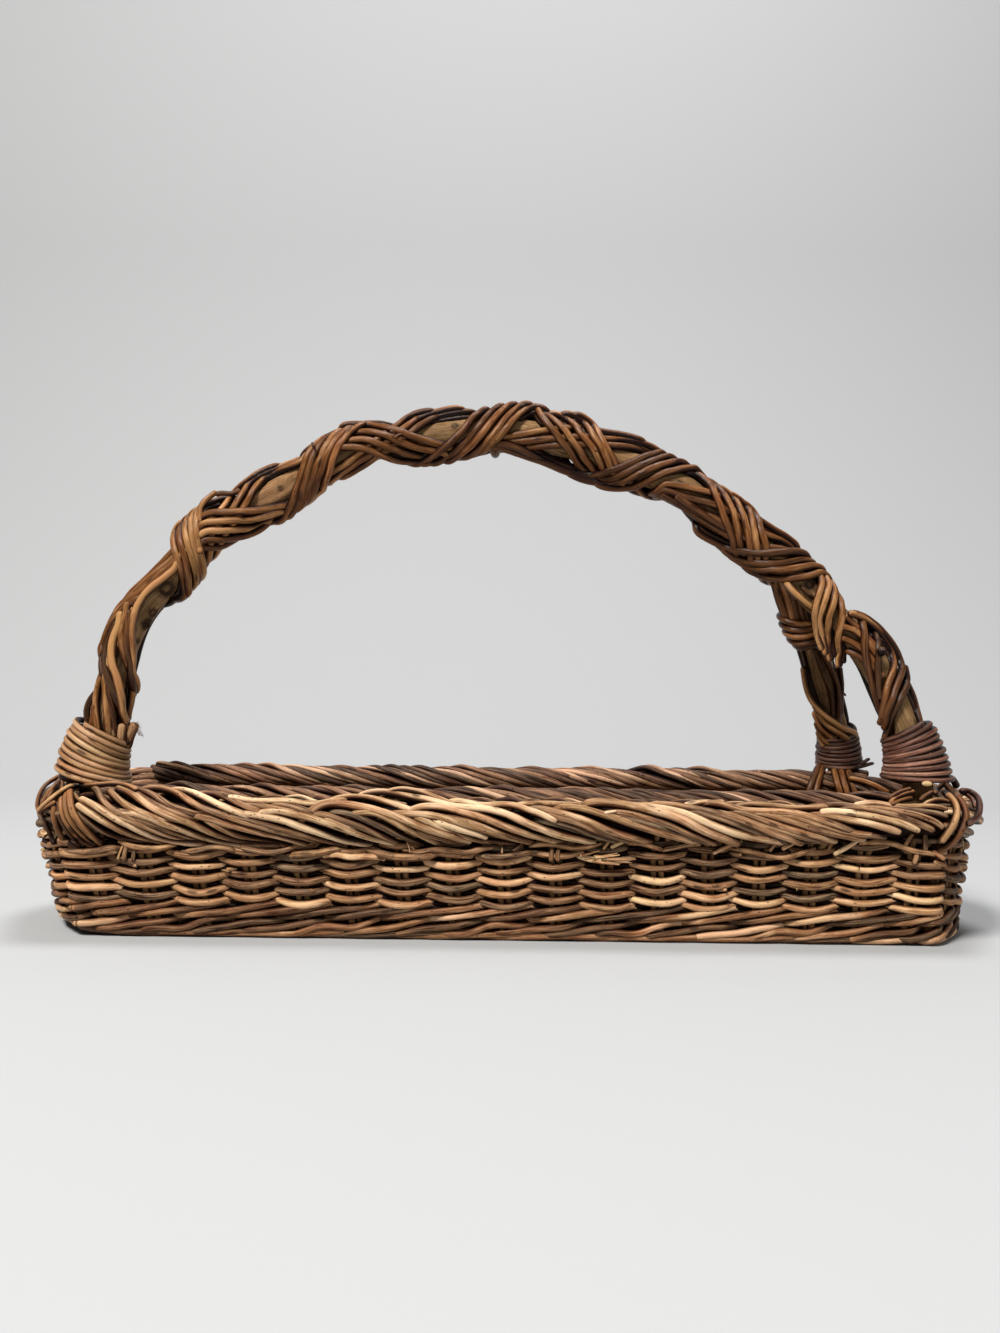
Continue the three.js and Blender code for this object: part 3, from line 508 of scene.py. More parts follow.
def outline(side, t, z):
    f = z / WALL_TOP
    mix = lambda p: p[0] + (p[1] - p[0]) * f
    xl, xr, w = mix(CORNER_X_LEFT), mix(CORNER_X_RIGHT), mix(HALF_WIDTH)
    if side == "front":
        return np.stack([xl + (xr - xl) * t, -w + 0 * t], -1)
    if side == "back":
        return np.stack([xr + (xl - xr) * t, w + 0 * t], -1)
    y = -w + 2 * w * t if side == "right" else w - 2 * w * t
    bow = 1 - (y / w) ** 2
    return np.stack([xr + mix(BOW_RIGHT) * bow, y], -1) if side == "right" else np.stack([xl - mix(BOW_LEFT) * bow, y], -1)


_T, _B, _edge, LENGTH = [], [], [0], {}
for side in ORDER:
    t = np.linspace(0, 1, 400)
    mid = outline(side, t, WALL_TOP / 2)
    d = np.concatenate([[0], np.cumsum(np.linalg.norm(np.diff(mid, axis=0), axis=1))])
    LENGTH[side] = d[-1]
    n = int(round(d[-1]))
    tt = np.interp(np.arange(n) / n * d[-1], d, t)
    _T.append(outline(side, tt, WALL_TOP)); _B.append(outline(side, tt, 0.0))
    _edge.append(_edge[-1] + n)
_T = gsmooth(np.vstack(_T), 4.5, loop=True)
_B = gsmooth(np.vstack(_B), 4.5, loop=True)
_M = (_T + _B) / 2
_step = np.linalg.norm(np.roll(_M, -1, 0) - _M, axis=1)
_S = np.concatenate([[0], np.cumsum(_step)])
PER = _S[-1]
CORNER_S = [_S[i] for i in _edge]          # front left, front right, back right, back left, front left again
_loopT, _loopB = np.vstack([_T, _T[:1]]), np.vstack([_B, _B[:1]])


def ring_point(S, z):
    S = np.mod(S, PER)
    f = (np.asarray(z, float) / WALL_TOP)[..., None] if np.ndim(z) else z / WALL_TOP
    top = np.stack([np.interp(S, _S, _loopT[:, i]) for i in (0, 1)], -1)
    foot = np.stack([np.interp(S, _S, _loopB[:, i]) for i in (0, 1)], -1)
    return foot + (top - foot) * f


def ring_normal(S, z):
    a, b = ring_point(np.asarray(S) - 1.5, z), ring_point(np.asarray(S) + 1.5, z)
    t = unit(b - a)
    return np.stack([t[..., 1], -t[..., 0]], -1)


def wall(S, w, z):
    """A point of the wall: S along it from the front left corner, w outward, z up. With the outward direction."""
    S = np.asarray(S, float)
    z = np.broadcast_to(np.asarray(z, float), S.shape)
    w = np.broadcast_to(np.asarray(w, float), S.shape)
    n = ring_normal(S, z)
    p = ring_point(S, z) + n * w[..., None]
    return np.concatenate([p, z[..., None]], -1), np.concatenate([n, np.zeros(n.shape[:-1] + (1,))], -1)


SPAN = {side: (CORNER_S[i], CORNER_S[i + 1]) for i, side in enumerate(ORDER)}
NODE = {"front": "front", "right": "right_end", "back": "back", "left": "left_end"}

# where the uprights stand: corner posts and pairs of stakes
UPRIGHT, IS_CORNER = [], []
for side in ORDER:
    a, b = SPAN[side]
    total = b - a
    UPRIGHT.append(a); IS_CORNER.append(True)
    if side in ("front", "back"):
        edge = 11.2
        at = [a + edge + (total - 2 * edge) * i / (STAKES_LONG - 1) for i in range(STAKES_LONG)]
    else:
        at = [a + total * (i + 0.75) / (STAKES_END + 0.5) for i in range(STAKES_END)]
    UPRIGHT += at; IS_CORNER += [False] * len(at)
UPRIGHT = np.array(UPRIGHT)
COUNT = len(UPRIGHT)
_upx = np.concatenate([UPRIGHT, [PER + UPRIGHT[0]]])
_upy = np.arange(COUNT + 1)
_thick = np.where(np.array(IS_CORNER), 1.0, 0.0)


def upright_at(S):
    """How many uprights lie before S, counted smoothly."""
    return np.interp(np.mod(S, PER), _upx, _upy)


def corner_near(S):
    S = np.mod(S, PER)
    d = np.min([np.abs(S - c) for c in CORNER_S], axis=0)
    return np.exp(-(d / 7.0) ** 2)


# ------------------------------------------------------------------ walls
made = []


def keep(obj, *nodes, slot=None):
    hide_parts(*nodes)
    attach(obj, "root")
    made.append(obj)
    return obj


def side_samples(side, step):
    a, b = SPAN[side]
    return np.linspace(a, b, int(round((b - a) / step)) + 1)


def wave(seed, S, amp, parts=(3, 7, 13, 23)):
    """A random wave that closes round the basket."""
    r = rng_of(seed)
    out = np.zeros_like(np.asarray(S, float))
    for k in parts:
        out += r.normal(0, 1) * np.sin(2 * math.pi * k * np.asarray(S) / PER + r.random() * 6.28) / math.sqrt(len(parts))
    return out * amp


def warp(p):
    """The basket as it has gone out of true: the foot at the left end is pulled up a little."""
    x, z = p[:, 0], p[:, 2]
    lift = 5.0 * smoothstep(-x, 185, 236) * np.clip(1 - z / 46.0, 0, 1)
    p = p.copy()
    p[:, 2] = z + lift
    p[:, 0] = x - 1.8 * smoothstep(-x, 214, 226) * smoothstep(z, 18, 44)
    return p


ROWS = 13
ROW_Z0, ROW_PITCH = 18.9, 2.92
# what the siding's rods alternate round: a corner post and the pair beside it count as one
TURNS = []
for i, side in enumerate(ORDER):
    a, b = SPAN[side]
    TURNS.append(a + (4.0 if side in ("front", "back") else -4.0))
    mids = [u for u, c in zip(UPRIGHT, IS_CORNER) if not c and a < u < b]
    TURNS += mids[1:-1] if side in ("front", "back") else mids
_tx = np.array([TURNS[-1] - PER] + TURNS + [TURNS[0] + PER])
_ty = np.arange(-1, len(TURNS) + 1)


def turn_at(S):
    return np.interp(np.mod(S, PER), _tx, _ty)


siding = {side: Rods() for side in ORDER}


def overlapped(side, step, over=2.4):
    a, b = SPAN[side]
    return np.linspace(a - over, b + over, int(round((b - a + 2 * over) / step)) + 1)


def taper_ends(rad):
    rad = np.array(rad, float)
    rad[0] *= 0.9; rad[-1] *= 0.9
    return rad


for i in range(ROWS):
    r = rng_of(100 + i)
    # every stroke has its own colour and thickness: the rods are laid end to end, and weathered where they stand out
    tones = np.clip(0.47 + 0.19 * r.normal(size=60), 0.02, 1.0)
    tones[::5] = np.clip(tones[::5] - 0.16, 0.02, 1.0)
    rads = 1.66 + 0.13 * r.normal(size=60).clip(-1.6, 1.6)
    shifts = 0.30 * r.normal(size=60).clip(-1.5, 1.5)
    for side in ORDER:
        S = overlapped(side, 1.6)
        q = turn_at(S) + i
        c = np.cos(math.pi * q)
        shape = c * (1.34 - 0.34 * c * c)
        k = np.floor(q / 2 + 0.5).astype(int) % 44
        rad = taper_ends(gsmooth(rads[k], 3)) * (1 + 0.10 * smoothstep(np.abs(c), 0.1, 0.8) + 0.06 * smoothstep(c, 0.1, 0.7))
        amp = 1.95 + rad + 2.2 * corner_near(S)
        w = amp * shape + wave(200 + i, S, 0.22)
        sag = np.where(c > 0, np.abs(c) ** 1.2, 1.5 * np.abs(c))      # the inner strokes close the gaps between the outer ones
        z = ROW_Z0 + ROW_PITCH * i - 1.5 * sag * (1 - 0.4 * corner_near(S)) + gsmooth(shifts[k], 3) + wave(300 + i, S, 0.30, (11, 29, 41, 53)) + wave(7, S, 0.35)
        t = gsmooth(tones[k], 1.5) + 0.07 * np.sin(S / 60.0 + 2 * i)
        # the top three front rows have their tone lowered by 0.22 as painted shade under the border
        if side == "front" and i >= ROWS - 3:      # in the shade under the border, behind the strokes laid further down
            w = w - 2.0
            t = t - 0.22
        p, n = wall(S, w, z)
        p = warp(p)
        # where a stroke passes inside the wall, its outer side is kept in painted shade
        siding[side].add(p, rad, n, t, 1000 + 10 * i + ORDER.index(side), sides=10, ends=("flat", "flat"), rough=0.05, facing=2 * smoothstep(c, -0.85, -0.25) - 1)

# what shows in the gaps between the strokes: rods in the middle of the wall, near-black as painted shade
for i in range(15):
    for side in ORDER:
        S = overlapped(side, 4.0)
        p, n = wall(S, np.full(len(S), -0.3), ROW_Z0 + ROW_PITCH * i - 1.1)
        siding[side].add(warp(p), 1.52, n, 0.06, 1400 + 10 * i + ORDER.index(side), sides=8, ends=("flat", "flat"), wear=0.3)

# the topmost strokes of the front and the cut ends that show between them
for k, (points, rad, tone) in enumerate([
        ([(60, 848), (75, 850.5), (95, 849.5), (110, 846.5), (122, 846.5)], 1.7, 0.42), ([(119, 840), (128, 843.5), (140, 846), (160, 846.5), (175, 844)], 1.5, 0.62),
        ([(182, 850), (196, 849), (210, 846), (226, 847), (240, 851)], 1.5, 0.5), ([(236, 845), (250, 848), (266, 851), (284, 849), (297, 845)], 1.5, 0.4),
        ([(288, 854), (304, 852.5), (320, 851), (335, 848.5), (344, 848.5)], 1.9, 0.5), ([(324, 855), (335, 853), (350, 855.5), (365, 855), (378, 856), (384, 858)], 1.75, 0.76), ([(367, 849), (380, 852), (395, 855), (410, 856), (426, 855), (440, 852)], 2.0, 0.5),
        ([(404, 849), (420, 850.5), (436, 848), (450, 849), (466, 851), (480, 848), (492, 846.5)], 1.6, 0.6), ([(478, 854), (490, 855.5), (506, 855), (522, 852.5), (536, 850)], 1.6, 0.3),
        ([(530, 845), (542, 842.5), (556, 843.5), (573, 846.5), (590, 845), (601, 842.5)], 1.5, 0.6), ([(625, 841), (640, 842), (655, 846), (665, 849)], 1.4, 0.5),
        ([(660, 849), (675, 846), (690, 843), (700, 843)], 1.4, 0.55), ([(730, 847), (750, 850), (770, 855), (785, 856), (800, 852), (815, 847)], 1.5, 0.62),
        ([(860, 842), (880, 840.5), (895, 843), (912, 849), (930, 852), (941, 855)], 1.5, 0.62)]):
    dense = spline(np.asarray(points, float), 3.0)
    f = np.linspace(0, 1, len(dense))
    edge_ = np.minimum(smoothstep(f, 0.0, 0.18), smoothstep(1 - f, 0.0, 0.18))
    q = np.array([seen(px, py, -48.6 - 2.3 * e) for (px, py), e in zip(dense, edge_)])
    siding["front"].add(q, rad * (0.55 + 0.45 * edge_), (0, -1, 0.1), tone - 0.10 + wander(rng_of(1800 + k), f, 0.5, 0.1), 1800 + k, sides=10, ends=("round", "round"), rough=0.05)
for k, (points, r0, r1, tone, end_) in enumerate([
        ([(714, 851), (725, 846), (740, 840)], 1.3, 1.1, 0.85, "cut"), ([(835, 852), (848, 845), (862, 836)], 1.4, 1.1, 0.9, "cut"), ([(612, 845.5), (618, 842.5), (626, 839)], 1.2, 1.0, 0.85, "cut"),
        ([(783, 847), (789, 844), (796, 840.5)], 1.2, 1.0, 0.8, "cut"), ([(604, 847), (606, 844), (609, 840)], 1.0, 0.9, 0.6, "round"), ([(770, 849), (773, 845), (777, 841)], 1.0, 0.9, 0.65, "round"),
        ([(828, 849), (830, 845), (833, 841)], 1.0, 0.9, 0.6, "round"), ([(905, 844), (908, 839), (912, 833)], 1.3, 1.1, 0.5, "round"), ([(925, 849), (925, 841), (925, 833)], 1.4, 1.3, 0.35, "round"),
        ([(118, 857), (120, 851), (122.5, 845)], 0.6, 0.6, 0.85, "round"), ([(124, 857), (125, 851), (126.5, 845)], 1.4, 1.2, 0.5, "round"), ([(133, 858), (133.5, 853), (134.5, 848)], 1.1, 1.0, 0.3, "round"),
        ([(502, 851.5), (502, 849), (502, 846.5)], 0.55, 0.5, 0.95, "round"), ([(514, 849), (518, 846.5), (522, 843)], 0.9, 0.7, 0.35, "round"), ([(551, 858), (551.5, 853), (552, 849)], 1.3, 1.2, 0.55, "round"),
        ([(557.5, 858), (557.5, 853), (558, 849)], 1.2, 1.1, 0.6, "round"), ([(410, 851), (409, 846), (407, 841)], 0.35, 0.2, 0.9, "round"), ([(416, 849), (411, 845)], 0.3, 0.2, 0.9, "round"),
        ([(914, 861), (915.5, 857), (916, 853)], 1.4, 1.5, 0.55, "round"), ([(934, 851), (939, 854), (943, 857)], 1.4, 1.5, 0.6, "round"), ([(935, 861), (940, 863), (945, 865)], 1.4, 1.4, 0.5, "round")]):
    q = spline([seen(px, py, -50.2) for px, py in points], 1.0)
    siding["front"].add(q, np.linspace(r0, r1, len(q)), (0, -1, 0.1), tone - 0.10, 1830 + k, sides=9, ends=("round", end_), slant=(0, -1.2), rough=0.06)

# a few ends of rods that stick out of the siding, and a splintered one
stray = rng_of(41)
for j in range(22):
    side = "front" if j % 2 == 0 else ("back" if j % 4 == 1 else ("left", "right")[(j // 4) % 2])
    a, b = SPAN[side]
    S0 = stray.uniform(a + 14, b - 18)
    z0 = stray.uniform(20, 45)
    L_ = stray.uniform(3.5, 7.5)
    sg = 1 if stray.random() < 0.6 else -1
    S = np.linspace(S0, S0 + sg * L_, 6)
    w = np.linspace(-1.0, 4.6 + stray.uniform(0, 0.9), 6)
    p, n = wall(S, w, z0 + np.linspace(0, stray.uniform(-1.0, 1.6), 6))
    siding[side].add(warp(p), np.linspace(1.15, 0.9, 6), n, stray.uniform(0.2, 0.7), 1600 + j, sides=9, ends=("round", "cut"), slant=(0.8, stray.uniform(0.7, 1.6)))
split = seen(603, 858, -53)
for j, (dx, dz, L_, r0) in enumerate([(-5, 3.2, 9, 0.75), (2, 1.8, 12, 1.2), (6, 0.3, 16, 1.3), (1, -1.8, 13, 0.9), (-3, 0.5, 7, 0.6), (4, 2.6, 9, 0.5), (9, -1.0, 11, 0.7)]):
    base = split + np.array([dx - 6, 0.6, dz * 0.5])
    p = spline([base, base + np.array([L_ * 0.4, -1.4, dz * 0.35]), base + np.array([L_, -0.6 - 0.2 * j, dz * 0.8])], 1.2)
    siding["front"].add(p, np.linspace(r0, r0 * 0.35, len(p)), (0, -1, 0.2), 0.72 if j % 2 else 0.5, 1700 + j, sides=7, ends=("cut", "round"), rough=0.2)

for side in ORDER:
    keep(siding[side].build(NODE[side] + "_siding_weave", WEAVE), NODE[side] + "_siding", slot="weave_rods")

# bottom waling: two rounds, three rods each, every rod in front of two uprights and behind one
for side in ORDER:
    rods = Rods()
    S = overlapped(side, 2.0)
    for m in range(2):
        for k in range(3):
            a = np.mod(upright_at(S) + k + m, 3.0)
            d = np.minimum(a, 3 - a)
            h = np.where(d < 1, 0.5 * (1 + np.cos(math.pi * np.clip(d, 0, 1))), 0.0)
            rad = taper_ends(1.74 + 0.12 * math.sin(3.1 * k + m) + wave(510 + 3 * m + k, S, 0.12))
            w = (1.9 + rad + 1.6 * corner_near(S)) * (1 - 2 * h) * (1 + 0.0 * S)
            rise = np.where((a >= 0.5) & (a <= 2.5), (a - 0.5) / 2.0, np.where(a > 2.5, 1 - (a - 2.5), 0.5 - a))
            z = 2.05 + rise * 7.3 + m * 8.1 + wave(520 + 3 * m + k, S, 0.42, (11, 23, 37))
            z = np.maximum(z, rad + 0.1)
            p, n = wall(S, w, z)
            p = warp(p)
            # colours change where one rod gives way to the next
            seg = np.floor((S + 57 * k + 91 * m) / 98.0)
            tone = 0.41 + 0.30 * np.sin(seg * 2.7 + k * 1.9 + m * 4.2) + 0.12 * np.sin(seg * 11.3) + 0.16 * np.sin(np.floor(upright_at(S) / 3 + k / 3.0) * 5.1 + k * 2.3 + m)
            rods.add(p, rad, n, gsmooth(tone, 2), 2000 + 40 * m + 10 * k + ORDER.index(side), sides=10, ends=("flat", "flat"), rough=0.04)
    # rods in the middle of the wall, near-black as painted shade between the strokes
    for m_, z_ in enumerate((1.7, 4.4, 7.2, 10.0, 12.8, 15.6)):
        p, n = wall(S, np.full(len(S), -0.4), z_)
        rods.add(warp(p), 1.5, n, 0.06, 2150 + 10 * m_ + ORDER.index(side), sides=8, ends=("flat", "flat"), wear=0.3)
    # the lowest round: long strokes that lie along the foot, each one under the next
    r = rng_of(2500 + ORDER.index(side))
    a, b = SPAN[side]
    for k in range(int((b - a) / 47.0) + 2):
        S_ = a - 34 + 47.0 * k + r.uniform(-5, 5) + np.linspace(0, 92, 40)
        S_ = S_[(S_ > a - 2) & (S_ < b + 2)]
        # the left end's foot strokes are kept lighter, painted light against the shade that falls there
        tone_ = float(np.clip(r.normal(0.42, 0.26), 0.34 if side == "left" else 0.04, 0.95))
        if len(S_) < 10:
            continue
        f = np.linspace(0, 1, len(S_))
        p, n = wall(S_, 0.5 + 2.6 * np.sin(math.pi * f) ** 0.7 + 1.3 * corner_near(S_), 1.95 + 2.6 * f ** 2 + 0.2 * np.sin(S_ / 7.0 + k))
        rods.add(warp(p), 1.82 * (1 - 0.12 * f), n, tone_, 2540 + k, sides=10, ends=("round", "round"), rough=0.05)
    keep(rods.build(NODE[side] + "_wale_weave", WALE), NODE[side] + "_bottom_wale", slot="wale_rods")

# stakes: pairs of rods, bending over towards the right as they run up into the border
for side in ORDER:
    rods = Rods()
    a, b = SPAN[side]
    r = rng_of(700 + ORDER.index(side))
    for j, S0 in enumerate(UPRIGHT):
        if IS_CORNER[j] or not (a < S0 < b):
            continue
        for d in (-1, 1):
            z = np.concatenate([np.linspace(0.6, 44, 12), np.linspace(46, 54, 6)])
            lean = 4.5 if d > 0 else 1.6
            S = S0 + d * 1.95 + lean * smoothstep(z, 44, 54) * r.uniform(0.7, 1.3) + 0.25 * np.sin(z / 9.0 + j)
            w = 0.25 * math.sin(j * 1.7 + d) + 1.0 * smoothstep(z, 46, 54)
            p, n = wall(S, w, z)
            rods.add(warp(p), np.linspace(2.0, 1.75, len(z)) * r.uniform(0.92, 1.06), n, r.uniform(0.55, 1.0), 2300 + 4 * j + (d > 0), sides=8, ends=("flat", "flat"))
        # the cut end of a second stake beside it
        if side != "front" and r.random() < 0.4:
            z = np.linspace(41, r.uniform(48.5, 50.5), 6)
            S = S0 + 3.6 + np.linspace(0, r.uniform(2.5, 6.5), 6)
            p, n = wall(S, np.linspace(1.6, r.uniform(3.4, 4.6), 6), z)
            rods.add(warp(p), np.linspace(1.9, 1.3, 6), n, 0.8, 2700 + j, sides=8, ends=("round", "cut"), slant=(0.5, -1.9))
    # rods beside each pair, which fill the middle of the wall, near-black as painted shade
    for u, before, after in zip(TURNS, [TURNS[-1] - PER] + TURNS[:-1], TURNS[1:] + [TURNS[0] + PER]):
        if a - 6 < u < b + 6:
            for d, gap in ((-1, u - before), (1, after - u)):
                z = np.linspace(15.0, 58.5, 14)
                p, n = wall(np.full(14, u + d * 0.225 * min(gap, 26.0)), np.full(14, 0.0), z)
                rods.add(warp(p), 1.45, n, 0.02, 2600 + int(u) % 97, sides=8, ends=("flat", "flat"), wear=0.25)
    # tails bent along the foot
    S = overlapped(side, 3.0)
    for k, (w0, z0) in enumerate([(-7.6, 2.4), (-7.4, 6.2), (0.2, 2.0), (-4.6, 2.6), (-4.4, 5.6), (-4.6, 8.6)]):
        p, n = wall(S, w0 + wave(730 + k, S, 0.3), z0 + wave(740 + k, S, 0.25))
        p[:, 2] = np.maximum(p[:, 2], 1.9)
        rods.add(warp(p), 1.75, n, 0.5 + 0.12 * k if k < 3 else 0.1, 2800 + 10 * k + ORDER.index(side), sides=8, ends=("flat", "flat"))
    keep(rods.build(NODE[side] + "_stake_rods", STAKE), NODE[side] + "_stakes", slot="stake_rods")

for name, S0, seed in (("corner_post_front_left", CORNER_S[0], 1), ("corner_post_front_right", CORNER_S[1], 2),
                       ("corner_post_back_right", CORNER_S[2], 3), ("corner_post_back_left", CORNER_S[3], 4)):
    rods = Rods()
    z = np.linspace(0.8, 50.5, 24)
    p, n = wall(np.full(24, S0), np.full(24, -0.6), z)
    rods.add(warp(p), 3.5 + 0.12 * np.sin(z / 7.0 + seed), n, 0.45, 2900 + seed, sides=16, ends=("flat", "flat"), rough=0.05)
    for d in (-1, 1):
        p, n = wall(S0 + d * 3.4 + 0.4 * np.sin(z / 8 + d), np.full(24, -2.0), z)
        rods.add(warp(p), 1.6, n, 0.6, 2910 + 3 * seed + d, sides=8, ends=("flat", "cut"))
    keep(rods.build(name + "_rods", STAKE), name, slot="stake_rods")

# ------------------------------------------------------------------ border
rim_cache = {}


def rim(S, out=0.0, up=0.0):
    p, n = wall(S, ROPE_OUT + out, np.full(np.shape(S), WALL_TOP))
    p[..., 2] = ROPE_Z + up + wave(11, S, 0.45, (2, 5, 9)) + (4.0 + 0.8 * smoothstep(p[..., 0], -100, 200)) * smoothstep(p[..., 1], -30, 44)
    p[..., 0] += 4.6 * smoothstep(-p[..., 0], 212, 236)
    return p, n


PITCH = 186.0
borders = {side: Rods() for side in ORDER}
RODS_ROUND = 84
rb = rng_of(31)
for b in range(RODS_ROUND):
    S0 = PER * (b + rb.uniform(-0.16, 0.16)) / RODS_ROUND
    pitch = PITCH * rb.uniform(0.92, 1.08)
    start, stop = math.radians(rb.uniform(196, 226)), math.radians(rb.uniform(-92, -72))
    if SPAN["back"][0] <= np.mod(S0, PER) < SPAN["back"][1]:      # these start further round, under the rope
        start += math.radians(58)
    length = (start - stop) / (2 * math.pi) * pitch
    S = np.linspace(S0, S0 + length, max(24, int(length / 2.3)))
    f = (S - S0) / length
    psi = start + (stop - start) * f
    rad = (2.1 - 0.45 * f) * rb.uniform(0.9, 1.1)
    tone = np.clip(rb.normal(0.46, 0.22), 0.06, 1.0)
    bow_out, lift = rb.normal(0, 0.3), wander(rb, S, 80, 0.3)
    rc_all = 9.2 + bow_out + 0.45 * np.cos(psi - 0.5) - 1.3 * smoothstep(f, 0.84, 1.0) - 1.8 * smoothstep(-f, -0.14, 0.0) + lift
    shade = wander(rb, S, 60, 0.10)
    # along the front the near side is laid rod by rod further down, so these dive under at the crest
    here = np.mod(S, PER)
    right_ = CORNER_S[1]
    on_long = (here > 3.0) & (here < right_ - 3.0)
    keep_ = ~on_long | (psi > math.radians(88))
    turn_in = np.where(on_long, smoothstep(-np.degrees(psi), -112, -90), 0.0)
    edges_ = np.flatnonzero(np.diff(np.concatenate([[0], keep_.astype(int), [0]])))
    for j, (lo_, hi_) in enumerate(edges_.reshape(-1, 2)):
        part = slice(lo_, hi_)
        if hi_ - lo_ < 7:
            continue
        own = np.mod((S[part][0] + S[part][-1]) / 2, PER)
        side = next(s for s in ORDER if SPAN[s][0] <= own < SPAN[s][1] + 1e-6)
        c, n = rim(S[part])
        ps = psi[part]
        slim = 1 - 0.10 * smoothstep(c[:, 0], 120, 215) - 0.16 * smoothstep(-c[:, 0], 208, 228)
        radial = n * np.cos(ps)[:, None] + np.array([0, 0, 1.0]) * np.sin(ps)[:, None]
        # the back rope's tone is lowered as painted shade on its side that faces the front
        t_ = (tone if side != "back" else 1.5 * tone - 0.40) + 0.10 * (0.5 - f[part]) + shade[part]
        r_ = rc_all[part] * slim - 3.2 * turn_in[part]
        borders[side].add(c + radial * r_[:, None], rad[part], radial, t_, 3000 + b + 500 * j, sides=12, ends=("round", "round"), rough=0.05)
# the back rope's left end: pale rods that come from behind the binding and run over the dark ones
_bC, _ = rim(np.linspace(*SPAN["back"], 400))


def back_side(px, py, R):
    """Where the sight line through a point of the photograph meets a sleeve of radius R round the back rope, or passes it closest."""
    best = None
    for y in np.arange(24.0, 62.0, 0.5):
        q = seen(px, py, y)
        d = np.min(np.linalg.norm(_bC - q, axis=1))
        if d <= R:
            return q
        if best is None or d < best[0]:
            best = (d, q)
    return best[1]


for k, (points, rad, tone) in enumerate([
        ([(126, 772), (134, 770.5), (150, 768.5), (163, 770), (176, 773), (198, 780), (218, 784.5)], 1.8, 0.60), ([(127, 778), (136, 776.5), (147, 775), (157, 775), (170, 777.5), (182, 781), (203, 786.5)], 1.75, 0.46),
        ([(128, 783), (138, 781), (148, 780), (157, 780.5), (173, 785), (188, 788.5)], 1.7, 0.66), ([(150, 765.5), (162, 766), (178, 769), (196, 774), (214, 778)], 1.6, 0.34)]):
    p = spline([back_side(px, py, 11.4 if 0 < i < len(points) - 1 else 10.0) for i, (px, py) in enumerate(points)], 2.0)
    borders["back"].add(gsmooth(p, 2.0), rad, (0, -1, 0.3), tone, 3960 + k, sides=12, ends=("round", "round"), rough=0.06)
# what lies inside the rope, near-black as painted shade
for side in ORDER:
    S = overlapped(side, 4.0)
    for k in range(5):
        psi = k * math.pi / 2.5 - S / 40.0
        c, n = rim(S)
        radial = n * np.cos(psi)[:, None] + np.array([0, 0, 1.0]) * np.sin(psi)[:, None]
        borders[side].add(c + radial * 4.0, 2.9, radial, 0.05, 3200 + 10 * k + ORDER.index(side), sides=8, ends=("flat", "flat"), wear=0.15)

